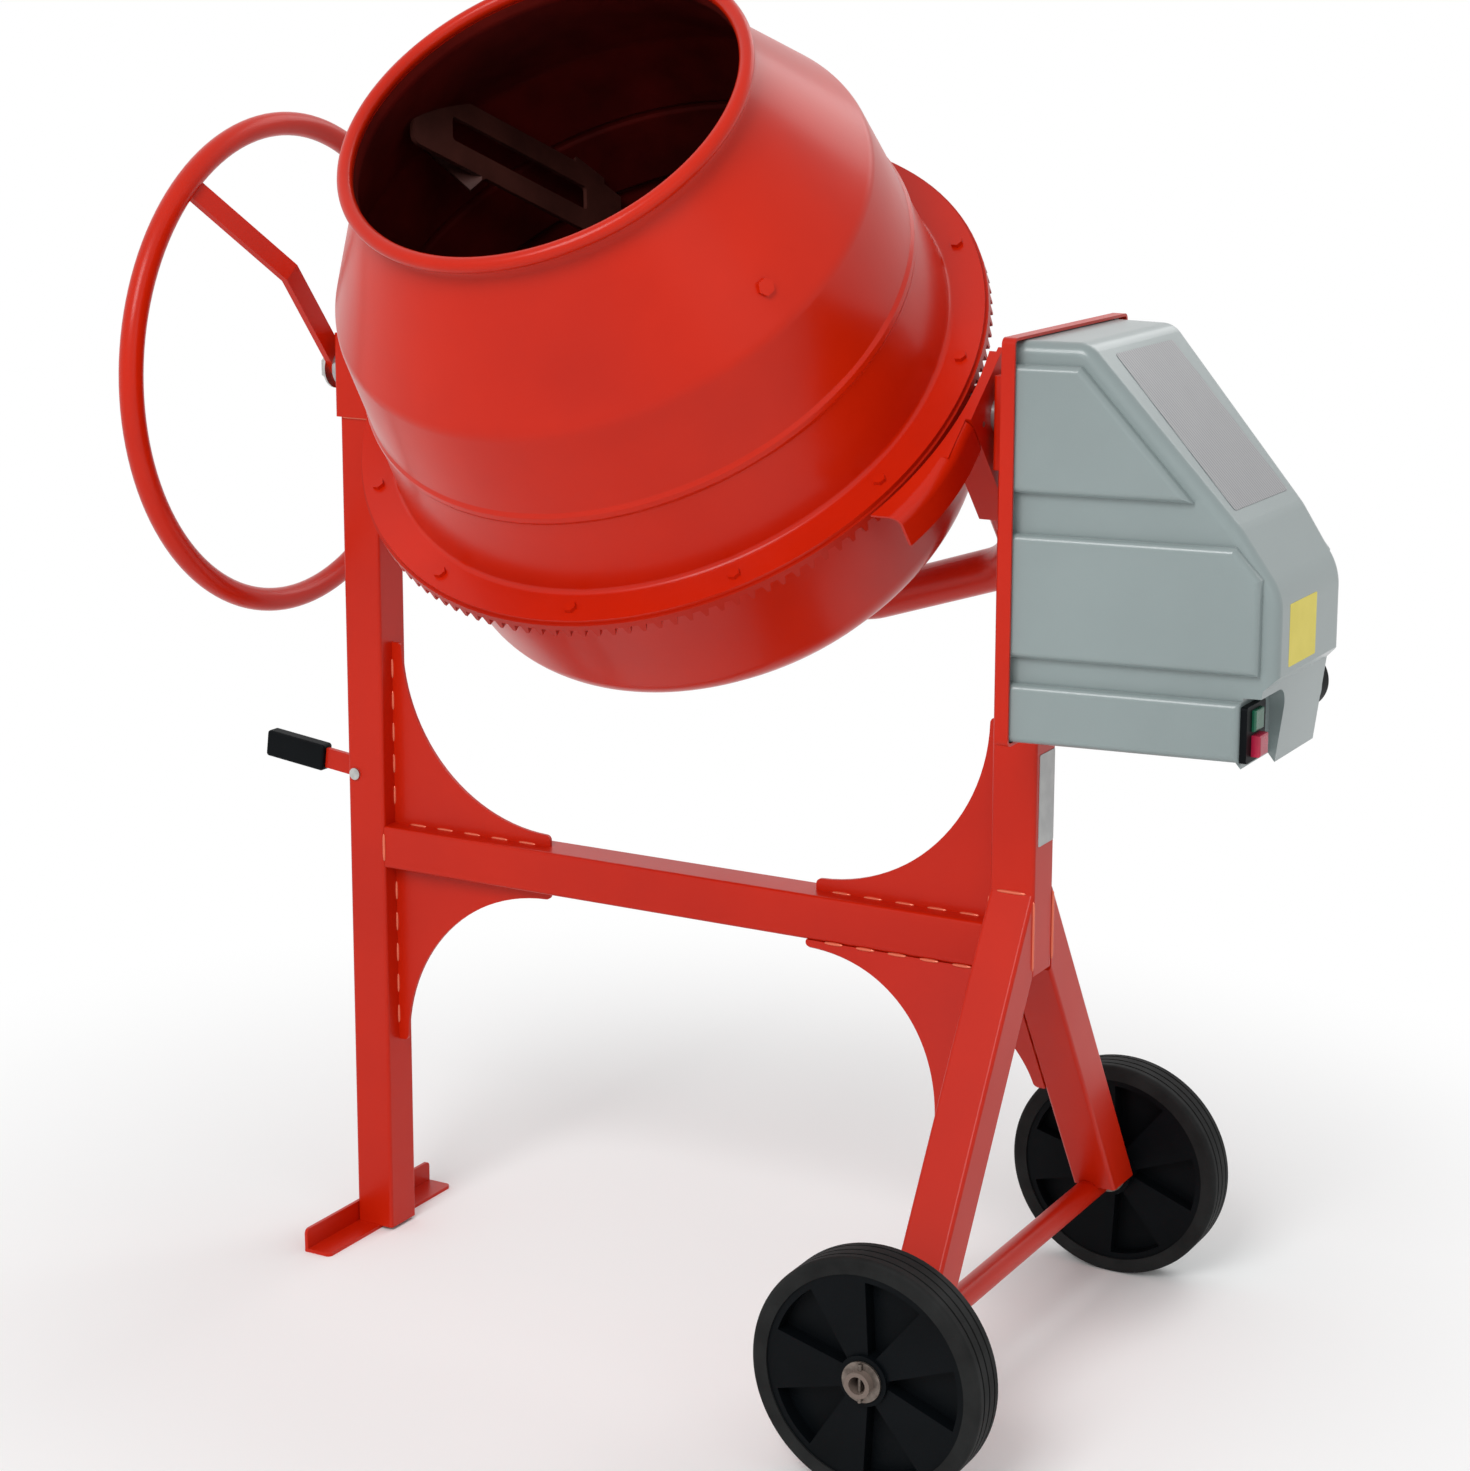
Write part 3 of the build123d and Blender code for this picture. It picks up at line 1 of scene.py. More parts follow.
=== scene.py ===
"""Studio scene of a tilting-drum concrete mixer, laid out as a Blender add-on run as a script."""
import json
import math

import bpy
from mathutils import Matrix, Vector


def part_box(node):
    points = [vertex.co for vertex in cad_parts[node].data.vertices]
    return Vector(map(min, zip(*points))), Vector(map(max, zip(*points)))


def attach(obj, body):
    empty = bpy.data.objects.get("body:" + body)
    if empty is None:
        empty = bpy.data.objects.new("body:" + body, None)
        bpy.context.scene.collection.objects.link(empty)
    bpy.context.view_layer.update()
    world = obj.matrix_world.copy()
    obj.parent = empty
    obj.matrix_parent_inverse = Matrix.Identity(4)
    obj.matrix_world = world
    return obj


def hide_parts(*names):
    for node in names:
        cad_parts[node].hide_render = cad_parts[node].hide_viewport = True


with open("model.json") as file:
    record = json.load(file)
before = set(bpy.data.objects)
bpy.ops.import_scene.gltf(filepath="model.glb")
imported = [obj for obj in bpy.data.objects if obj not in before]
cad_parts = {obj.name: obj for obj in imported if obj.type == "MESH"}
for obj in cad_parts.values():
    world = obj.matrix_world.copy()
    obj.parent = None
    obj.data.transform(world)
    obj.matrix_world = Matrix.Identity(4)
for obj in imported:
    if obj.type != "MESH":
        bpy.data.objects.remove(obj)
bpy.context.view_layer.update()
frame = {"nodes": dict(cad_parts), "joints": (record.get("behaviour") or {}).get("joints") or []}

bl_info = {
    "name": "Concrete mixer scene",
    "version": (1, 0, 0),
    "blender": (4, 5, 0),
    "location": "View3D > Sidebar > Mixer",
    "description": "Finishes, welds, labels and studio for a tilting-drum concrete mixer",
    "category": "Object",
}

FLANGE_TOP = 0.040667       # drum flange over the tilting axis, along the drum's axis
POST = 0.025                # half of the frame's square tube
RIGHT_POST = 0.825
BEAM = (0.452, 0.502)       # beam's lower and upper face
LEG_LEAN = math.radians(31.8)
TILT_HEIGHT = 1.035
HOOD_Y = 0.004              # middle of the hood
HOOD_FRONT = 0.268          # hood's front wall from its plate
SLOPE = ((0.075, 0.091), (0.226, -0.080))   # hood's slope: from the plate, over the tilting axis
DRUM_WALL = 0.0025
DRUM_BELT = (0.315, 0.0215, 0.207)  # belt's radius at the flange, its taper and its height
BEAD_PROUD = 0.0024         # raised bead round the belt
RIM = (0.213, 0.363, 0.008)         # rolled rim: radius, height and radius of the roll
TACK = 0.022                # length of a weld tack
TACK_RINGS = 12
TACK_STEP = 0.038           # between the tacks along a gusset
BEAD_STEP = 0.0105          # between the tacks of a bead, which overlap
GUSSET_RUN = (0.012, 0.206)         # welded part of a gusset's side, from its corner
GUSSET_SIDE = 0.0022        # half of a gusset's sheet, and a little
LEG_TOP = 0.5405            # where the legs' upper ends meet on the right post
AXLE_PLACE = (0.817, 0.0137, 0.1315)    # axle's middle, half its width, height of its welds
AXLE_WELD = (0.228, 0.274)          # welded part of the axle under a leg
SADDLE_LOW = 0.982
WHEEL_TURN = math.radians(128.0)    # handwheel's spoke from upright
WHEEL_PLACE = (-0.118, 0.2645)      # handwheel's middle plane and the weld's radius
KEY_LIGHT = ("key_light", (0.9, -4.6, 4.2), 2.4, 165.0)
FILL_LIGHT = ("fill_light", (4.6, -2.4, 2.2), 2.4, 8.0)
BACK_LIGHT = ("back_light", (1.5, 4.0, 4.2), 3.0, 55.0)
LIGHT_AIM = (0.45, 0.0, 0.8)
SHADOW_FADE = (0.45, 1.5)           # floor's shadow fades out between these distances
CAMERA_PLACE = (2.06966, -2.8301, 1.44619)
CAMERA_TURN = (math.radians(90.0 - 10.83), 0.0, math.radians(29.88))
CAMERA_SHIFT = (0.0204, -0.1003)


# ---------------------------------------------------------------- settings
class MixerColours(bpy.types.PropertyGroup):
    """Base colours of the mixer's finishes, linear."""

    red: bpy.props.FloatVectorProperty(
        name="Red paint", description="Gloss paint of the drum and the frame",
        subtype="COLOR", default=(0.61, 0.017, 0.001))
    red_deep: bpy.props.FloatVectorProperty(
        name="Deep red", description="Darker end of the paint's slow colour drift",
        subtype="COLOR", default=(0.47, 0.011, 0.001))
    hood: bpy.props.FloatVectorProperty(
        name="Hood grey", description="Green-grey of the motor hood",
        subtype="COLOR", default=(0.235, 0.285, 0.285))
    # Drum inside: the red taken almost to black, painted shade for the dark inside of the drum, not
    # worn paint
    inside: bpy.props.FloatVectorProperty(
        name="Drum inside", description="Worn paint inside the drum",
        subtype="COLOR", default=(0.120, 0.0065, 0.0045))
    blade: bpy.props.FloatVectorProperty(
        name="Paddles", description="Worn brown-red of the paddles",
        subtype="COLOR", default=(0.080, 0.024, 0.018))
    black: bpy.props.FloatVectorProperty(
        name="Black plastic", description="Wheels, grip and switch",
        subtype="COLOR", default=(0.0018, 0.0026, 0.0034))
    tyre: bpy.props.FloatVectorProperty(
        name="Tyre", description="Dusty black rubber",
        subtype="COLOR", default=(0.010, 0.0105, 0.0105))
    green: bpy.props.FloatVectorProperty(
        name="Start button", description="Green button",
        subtype="COLOR", default=(0.008, 0.105, 0.055))
    yellow: bpy.props.FloatVectorProperty(
        name="Yellow film", description="Blank label on the hood's front",
        subtype="COLOR", default=(0.78, 0.64, 0.02))
    crimson: bpy.props.FloatVectorProperty(
        name="Stop button", description="Crimson button",
        subtype="COLOR", default=(0.42, 0.008, 0.045))


class MixerSizes(bpy.types.PropertyGroup):
    """Sizes of the added details and of the studio."""

    weld_radius: bpy.props.FloatProperty(
        name="Weld bead", description="Radius of a weld bead",
        default=0.0021, unit="LENGTH")
    drum_turns: bpy.props.IntProperty(
        name="Drum faces", description="Faces round the drum's skins", default=180)
    label_thick: bpy.props.FloatProperty(
        name="Label", description="Thickness of a blank label",
        default=0.0006, unit="LENGTH")
    floor_size: bpy.props.FloatProperty(
        name="Floor", description="Side of the studio floor",
        default=60.0, unit="LENGTH")
    camera_lens: bpy.props.FloatProperty(
        name="Lens", description="Camera focal length", default=74.67, unit="CAMERA")


# ---------------------------------------------------------------- material helpers
def new_material(name):
    """An empty node material with a Principled shader, and its node tree's parts."""
    material = bpy.data.materials.new(name)
    material.use_nodes = True
    nodes = material.node_tree.nodes
    shader = nodes["Principled BSDF"]
    return material, nodes, material.node_tree.links, shader


def noise(nodes, links, scale, detail=4.0, stretch=(1.0, 1.0, 1.0)):
    """A noise texture in object coordinates, stretched by a mapping."""
    coords = nodes.new("ShaderNodeTexCoord")
    mapping = nodes.new("ShaderNodeMapping")
    mapping.inputs["Scale"].default_value = stretch
    texture = nodes.new("ShaderNodeTexNoise")
    texture.inputs["Scale"].default_value = scale
    texture.inputs["Detail"].default_value = detail
    links.new(coords.outputs["Object"], mapping.inputs["Vector"])
    links.new(mapping.outputs["Vector"], texture.inputs["Vector"])
    return texture.outputs["Fac"]


def ramp(nodes, links, source, stops):
    """A colour ramp over a factor: stops are (position, rgb)."""
    node = nodes.new("ShaderNodeValToRGB")
    elements = node.color_ramp.elements
    while len(elements) < len(stops):
        elements.new(0.5)
    for element, (place, colour) in zip(elements, stops):
        element.position = place
        element.color = (*colour, 1.0)
    links.new(source, node.inputs["Fac"])
    return node.outputs["Color"]


def span(nodes, links, source, low, high):
    """A factor mapped to a range."""
    node = nodes.new("ShaderNodeMapRange")
    node.inputs["To Min"].default_value = low
    node.inputs["To Max"].default_value = high
    links.new(source, node.inputs["Value"])
    return node.outputs["Result"]


def bump(nodes, links, source, strength, distance, shader):
    """A fine relief on a shader, from a factor."""
    node = nodes.new("ShaderNodeBump")
    node.inputs["Strength"].default_value = strength
    node.inputs["Distance"].default_value = distance
    links.new(source, node.inputs["Height"])
    links.new(node.outputs["Normal"], shader.inputs["Normal"])


def mottled(name, dark, light, scale, rough, grain, depth, metallic=0.0, coat=0.0,
            specular=0.5, stretch=(1.0, 1.0, 1.0)):
    """A finish with mottled colour and roughness and a fine surface texture."""
    material, nodes, links, shader = new_material(name)
    shader.inputs["Metallic"].default_value = metallic
    shader.inputs["Specular IOR Level"].default_value = specular
    if coat:
        shader.inputs["Coat Weight"].default_value = coat
        shader.inputs["Coat Roughness"].default_value = 0.12
    broad = noise(nodes, links, scale, 5.0, stretch)
    links.new(ramp(nodes, links, broad, [(0.32, dark), (0.68, light)]), shader.inputs["Base Color"])
    links.new(span(nodes, links, broad, rough[1], rough[0]), shader.inputs["Roughness"])
    fine = noise(nodes, links, grain, 3.0, stretch)
    bump(nodes, links, fine, 0.25, depth, shader)
    return material


def scaled(colour, factor):
    """A colour made darker or lighter."""
    return tuple(channel * factor for channel in colour)


def paint(name, colour, deep, rough, peel):
    """Gloss paint: orange peel, slight colour drift and dull, thinner patches."""
    material, nodes, links, shader = new_material(name)
    shader.inputs["Specular IOR Level"].default_value = 0.20
    shader.inputs["Coat Weight"].default_value = 0.08
    shader.inputs["Coat Roughness"].default_value = 0.14
    drift = noise(nodes, links, 3.5, 4.0)
    base = ramp(nodes, links, drift, [(0.30, deep), (0.72, colour)])
    links.new(base, shader.inputs["Base Color"])
    smear = noise(nodes, links, 9.0, 6.0)
    links.new(span(nodes, links, smear, rough[0], rough[1]), shader.inputs["Roughness"])
    skin = noise(nodes, links, peel, 2.0)
    bump(nodes, links, skin, 0.08, 0.0005, shader)
    return material


def bare_ends(material, colour, limit):
    """Shows bare metal on a painted bar beyond a distance from the middle plane."""
    nodes, links = material.node_tree.nodes, material.node_tree.links
    shader = nodes["Principled BSDF"]
    coords = nodes.new("ShaderNodeTexCoord")
    split = nodes.new("ShaderNodeSeparateXYZ")
    links.new(coords.outputs["Object"], split.inputs["Vector"])
    away = nodes.new("ShaderNodeMath")
    away.operation = "ABSOLUTE"
    links.new(split.outputs["Y"], away.inputs[0])
    past = nodes.new("ShaderNodeMath")
    past.operation = "GREATER_THAN"
    past.inputs[1].default_value = limit
    links.new(away.outputs["Value"], past.inputs[0])
    mix = nodes.new("ShaderNodeMix")
    mix.data_type = "RGBA"
    painted = shader.inputs["Base Color"].links[0].from_socket
    links.new(past.outputs["Value"], mix.inputs["Factor"])
    links.new(painted, mix.inputs["A"])
    mix.inputs["B"].default_value = (*colour, 1.0)
    links.new(mix.outputs["Result"], shader.inputs["Base Color"])
    return material


def give(material, *names):
    """Puts a material on CAD nodes."""
    for name in names:
        node = frame["nodes"][name]
        node.data.materials.clear()
        node.data.materials.append(material)


def soften(*names):
    """Smooth shading by angle on CAD nodes."""
    for name in names:
        node = frame["nodes"][name]
        bpy.ops.object.select_all(action="DESELECT")
        node.select_set(True)
        bpy.context.view_layer.objects.active = node
        bpy.ops.object.shade_smooth_by_angle(angle=math.radians(32))


# ---------------------------------------------------------------- modelling helpers
def alone(obj):
    """Makes an object the only selected one and the active one."""
    bpy.ops.object.select_all(action="DESELECT")
    obj.select_set(True)
    bpy.context.view_layer.objects.active = obj


def rounded(corners, radii, steps=8):
    """A line through corners, each inner corner turned to an arc of its radius."""
    line = [corners[0]]
    for before, here, after, radius in zip(corners, corners[1:], corners[2:], radii):
        here = Vector(here)
        back, ahead = (Vector(before) - here).normalized(), (Vector(after) - here).normalized()
        half_angle = back.angle(ahead) / 2
        reach = radius / math.tan(half_angle)
        centre = here + (back + ahead).normalized() * radius / math.sin(half_angle)
        first = (here + back * reach - centre).normalized()
        last = (here + ahead * reach - centre).normalized()
        for i in range(steps + 1):
            line.append(tuple(centre + first.slerp(last, i / steps) * radius))
    return line + [corners[-1]]


def lathe(name, line, turns):
    """A skin of revolution about Z, grown ring by ring from a circle."""
    bpy.ops.object.select_all(action="DESELECT")
    bpy.ops.mesh.primitive_circle_add(vertices=turns, radius=line[0][0])
    skin = bpy.context.active_object
    skin.name = name
    bpy.ops.object.mode_set(mode="EDIT")
    bpy.ops.mesh.select_all(action="SELECT")
    bpy.ops.transform.translate(value=(0.0, 0.0, line[0][1]))
    for (radius, height), (next_radius, next_height) in zip(line, line[1:]):
        bpy.ops.mesh.extrude_edges_move(
            TRANSFORM_OT_translate={"value": (0.0, 0.0, next_height - height)})
        grow = next_radius / radius
        bpy.ops.transform.resize(value=(grow, grow, 1.0), center_override=(0.0, 0.0, 0.0))
    bpy.ops.mesh.select_all(action="SELECT")
    bpy.ops.mesh.remove_doubles(threshold=0.00001)
    bpy.ops.mesh.normals_make_consistent(inside=False)
    bpy.ops.object.mode_set(mode="OBJECT")
    return skin


def settle(obj, matrix, material, body, *slots):
    """Places an object, applies its place and puts it on a body, with a material if given."""
    alone(obj)
    obj.matrix_world = matrix
    bpy.ops.object.transform_apply(location=True, rotation=True, scale=True)
    if material:
        obj.data.materials.clear()
        obj.data.materials.append(material)
    bpy.ops.object.shade_smooth_by_angle(angle=math.radians(40))
    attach(obj, body)
    return obj


def apply_all(obj):
    """Applies an object's modifiers."""
    alone(obj)
    bpy.ops.object.convert(target="MESH")


def thicken(obj, wall, outside, inside):
    """Gives a skin its wall, inwards, with a material of its own on the inside."""
    obj.data.materials.append(outside)
    obj.data.materials.append(inside)
    wall_modifier = obj.modifiers.new("wall", "SOLIDIFY")
    wall_modifier.thickness = wall
    wall_modifier.offset = -1.0
    wall_modifier.use_even_offset = True
    wall_modifier.material_offset = 1
    apply_all(obj)


def drum_place():
    """The drum's frame at flange height, from the joint that it turns on."""
    joint = next(j for j in frame["joints"] if j["name"] == "drum_spin")
    axis = Vector(joint["axis"]).normalized()
    across = axis.cross(Vector((1.0, 0.0, 0.0)))
    turn = Matrix((Vector((1.0, 0.0, 0.0)), across, axis)).transposed().to_4x4()
    return Matrix.Translation(Vector(joint["pos_m"]) + axis * FLANGE_TOP) @ turn


# ---------------------------------------------------------------- welds
def tack(name, length, radius):
    """One weld tack along X, a thin rippled bead with tapered ends."""
    tip = 0.25
    bpy.ops.object.select_all(action="DESELECT")
    bpy.ops.mesh.primitive_circle_add(vertices=10, radius=radius * tip, fill_type="NGON",
                                      rotation=(0.0, math.pi / 2, 0.0))
    bead = bpy.context.active_object
    bead.name = name
    bpy.ops.object.transform_apply(rotation=True)
    bpy.ops.object.mode_set(mode="EDIT")
    bpy.ops.mesh.select_all(action="SELECT")
    bpy.ops.transform.translate(value=(-length / 2, 0.0, 0.0))
    size = tip
    for i in range(1, TACK_RINGS + 1):
        share = i / TACK_RINGS
        wanted = tip + (1.0 - tip) * math.sin(math.pi * share) ** 0.35
        wanted *= 1.0 if i % 2 else 0.86
        bpy.ops.mesh.extrude_region_move(
            TRANSFORM_OT_translate={"value": (length / TACK_RINGS, 0.0, 0.0)})
        grow = wanted / size
        centre = (length * (share - 0.5), 0.0, 0.0)
        bpy.ops.transform.resize(value=(1.0, grow, grow), center_override=centre)
        size = wanted
    bpy.ops.mesh.select_all(action="SELECT")
    bpy.ops.mesh.normals_make_consistent(inside=False)
    bpy.ops.object.mode_set(mode="OBJECT")
    return bead


def between(start, end, out):
    """A frame at the middle of two points, X along them and Z outwards."""
    start, end = Vector(start), Vector(end)
    along = (end - start).normalized()
    up = Vector(out) - along * Vector(out).dot(along)
    up.normalize()
    turn = Matrix((along, up.cross(along), up)).transposed().to_4x4()
    return Matrix.Translation((start + end) / 2) @ turn


def tack_places(start, end, out, step, length):
    """Frames of tacks along a straight edge."""
    start, end = Vector(start), Vector(end)
    run = (end - start).length
    count = max(1, int((run - length) / step) + 1)
    way = (end - start).normalized()
    first = (run - (count - 1) * step) / 2
    for i in range(count):
        middle = start + way * (first + i * step)
        yield between(middle - way * length / 2, middle + way * length / 2, out)


def weld(name, pattern, places, material, body):
    """Copies of a tack at many places, joined to one object."""
    copies = []
    for place in places:
        copy = pattern.copy()
        copy.data = pattern.data.copy()
        bpy.context.collection.objects.link(copy)
        copy.data.transform(place)
        copies.append(copy)
    bpy.ops.object.select_all(action="DESELECT")
    for copy in copies:
        copy.select_set(True)
    bpy.context.view_layer.objects.active = copies[0]
    bpy.ops.object.join()
    joined = bpy.context.active_object
    joined.name = name
    settle(joined, Matrix.Identity(4), material, body)


# ---------------------------------------------------------------- labels
def label(name, length, width, thick, corner):
    """A thin blank plate, X along its length and its face towards Z, with round corners."""
    bpy.ops.object.select_all(action="DESELECT")
    bpy.ops.mesh.primitive_plane_add(size=1.0)
    plate = bpy.context.active_object
    plate.name = name
    bpy.ops.object.mode_set(mode="EDIT")
    bpy.ops.mesh.select_all(action="SELECT")
    bpy.ops.transform.resize(value=(length, width, 1.0))
    bpy.ops.mesh.bevel(offset=corner, segments=6, affect="VERTICES")
    bpy.ops.mesh.extrude_region_move(TRANSFORM_OT_translate={"value": (0.0, 0.0, thick)})
    bpy.ops.mesh.select_all(action="SELECT")
    bpy.ops.mesh.normals_make_consistent(inside=False)
    bpy.ops.object.mode_set(mode="OBJECT")
    return plate


def striped(name, dark, light, scale):
    """Printed film with fine slanted stripes."""
    material, nodes, links, shader = new_material(name)
    coords = nodes.new("ShaderNodeTexCoord")
    wave = nodes.new("ShaderNodeTexWave")
    wave.bands_direction = "DIAGONAL"
    wave.inputs["Scale"].default_value = scale
    wave.inputs["Distortion"].default_value = 0.0
    links.new(coords.outputs["Object"], wave.inputs["Vector"])
    stops = [(0.35, dark), (0.65, light)]
    links.new(ramp(nodes, links, wave.outputs["Fac"], stops), shader.inputs["Base Color"])
    links.new(span(nodes, links, noise(nodes, links, 30.0), 0.30, 0.42),
              shader.inputs["Roughness"])
    return material


# ---------------------------------------------------------------- operators
class MIXER_OT_finish(bpy.types.Operator):
    """Gives every CAD piece its finish"""

    bl_idname = "mixer.finish"
    bl_label = "Finishes"

    def execute(self, context):
        c = context.scene.mixer_colours
        red, deep = tuple(c.red), tuple(c.red_deep)
        body = paint("drum_paint", red, deep, (0.24, 0.36), 260.0)
        tube = paint("frame_paint", scaled(red, 0.93), deep, (0.30, 0.44), 340.0)
        gear = paint("gear_paint", scaled(red, 0.82), scaled(deep, 0.8), (0.34, 0.50), 420.0)
        hood = mottled("hood_plastic", scaled(c.hood, 0.93), scaled(c.hood, 1.05), 4.0,
                       (0.24, 0.36), 700.0, 0.0003, coat=0.25)
        black = mottled("wheel_plastic", scaled(c.black, 0.8), scaled(c.black, 1.5), 14.0,
                        (0.38, 0.60), 900.0, 0.0004, specular=0.08)
        rubber = mottled("tyre_rubber", scaled(c.tyre, 0.7), scaled(c.tyre, 1.5), 22.0,
                         (0.62, 0.85), 1200.0, 0.0005, specular=0.18)
        zinc = mottled("zinc_plate", (0.42, 0.42, 0.41), (0.62, 0.62, 0.60), 90.0,
                       (0.24, 0.42), 1500.0, 0.0002, metallic=1.0)
        steel = mottled("turned_steel", (0.36, 0.36, 0.36), (0.52, 0.52, 0.52), 60.0,
                        (0.28, 0.45), 1100.0, 0.0002, metallic=1.0, stretch=(4.0, 1.0, 1.0))
        worn = mottled("worn_zinc", (0.13, 0.105, 0.09), (0.27, 0.23, 0.20), 110.0,
                       (0.40, 0.60), 900.0, 0.0003, metallic=0.9)
        bronze = mottled("bush_bronze", (0.16, 0.10, 0.07), (0.30, 0.22, 0.17), 80.0,
                         (0.42, 0.62), 900.0, 0.0003, metallic=0.8)
        iron = mottled("cast_iron", (0.04, 0.038, 0.036), (0.10, 0.095, 0.09), 70.0,
                       (0.45, 0.68), 500.0, 0.0006, metallic=0.9)
        alloy = mottled("cast_alloy", (0.34, 0.35, 0.35), (0.50, 0.51, 0.52), 50.0,
                        (0.36, 0.52), 600.0, 0.0004, metallic=0.9)
        green = mottled("start_green", scaled(c.green, 0.85), scaled(c.green, 1.15), 60.0,
                        (0.22, 0.34), 900.0, 0.0002)
        crimson = mottled("stop_crimson", scaled(c.crimson, 0.85), scaled(c.crimson, 1.15), 60.0,
                          (0.22, 0.34), 900.0, 0.0002)
        blade = mottled("paddle_paint", scaled(c.blade, 0.65), scaled(c.blade, 1.2), 16.0,
                        (0.32, 0.52), 260.0, 0.0006, specular=0.3)
        axle = bare_ends(paint("axle_paint", scaled(red, 0.93), deep, (0.30, 0.44), 340.0),
                         (0.17, 0.13, 0.11), 0.285)
        give(body, "drum_belt", "drum_cone", "bowl_wall", "bowl_dish", "drum_bolts",
             "arm_bracket_left", "arm_bracket_right", "yoke_arm_left", "yoke_arm_right",
             "spindle_housing", "pinion_guard", "handwheel_rim", "handwheel_spoke")
        give(blade, "paddle_a", "paddle_b")
        give(tube, "foot_angle", "left_post", "right_post", "cross_beam", "beam_gussets",
             "leg_gussets", "leg_front", "leg_rear", "saddles", "hood_plate", "lock_lever")
        give(axle, "axle")
        give(gear, "ring_gear")
        give(hood, "motor_hood")
        give(black, "wheel_disc_front", "wheel_disc_rear", "lever_grip", "switch_body",
             "power_inlet")
        give(rubber, "tyre_front", "tyre_rear", "drive_belt")
        give(worn, "wheel_keepers")
        give(zinc, "hood_screws", "guard_bolts", "handwheel_bolt",
             "spindle_nut", "lever_pivot_pin", "lock_rod")
        give(steel, "trunnion_left", "trunnion_right", "drum_spindle", "spindle_bearings",
             "pinion_shaft", "motor_shaft", "motor_pulley")
        give(bronze, "trunnion_bushes", "shaft_bushes", "wheel_bush_front", "wheel_bush_rear")
        give(iron, "pinion")
        give(alloy, "driven_pulley", "motor_housing")
        give(green, "start_button")
        give(crimson, "stop_button")
        soften(*frame["nodes"])
        return {"FINISHED"}


class MIXER_OT_drum(bpy.types.Operator):
    """Spins the drum's smooth sheet skins and its rolled rim"""

    bl_idname = "mixer.drum"
    bl_label = "Drum skins"

    def execute(self, context):
        c = context.scene.mixer_colours
        turns = context.scene.mixer_sizes.drum_turns
        outside = bpy.data.materials["drum_paint"]
        # The inside's colour is painted shade: near-black red standing in for the shade within the
        # drum; the mottle over it is random tone
        inside = mottled("drum_inside_painted_shade", scaled(c.inside, 0.5), scaled(c.inside, 1.3), 9.0,
                         (0.34, 0.55), 300.0, 0.0006, specular=0.2)
        place = drum_place()
        radius, taper, crease = DRUM_BELT

        def belt(height, proud=0.0):
            return (radius - taper * height / crease + proud, height)

        corners = [(0.353, 0.0), (radius, 0.0), belt(0.0925), belt(0.0970, BEAD_PROUD),
                   belt(0.1030, BEAD_PROUD), belt(0.1075), (0.2935, crease), (0.209, 0.344),
                   (0.209, 0.357)]
        radii = (0.006, 0.004, 0.0035, 0.0035, 0.004, 0.030, 0.014)
        upper = lathe("drum_upper_skin", rounded(corners, radii), turns)
        thicken(upper, DRUM_WALL, outside, inside)
        middle, height, roll = RIM
        line = [(middle + roll * math.cos(a), height + roll * math.sin(a))
                for a in (math.tau * i / 20 for i in range(21))]
        rim = lathe("drum_rim", line, turns)
        settle(upper, place, None, "drum", "red_paint")
        settle(rim, place, outside, "drum", "red_paint")
        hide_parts("drum_belt", "drum_cone")
        corners = [(0.0152, -0.240), (0.251, -0.240), (0.301, -0.186), (0.322, -0.005),
                   (0.353, -0.005)]
        bowl = lathe("drum_bowl_skin", rounded(corners, (0.056, 0.056, 0.0035)), turns)
        thicken(bowl, DRUM_WALL, outside, inside)
        settle(bowl, place, None, "drum", "red_paint")
        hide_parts("bowl_wall", "bowl_dish")
        return {"FINISHED"}


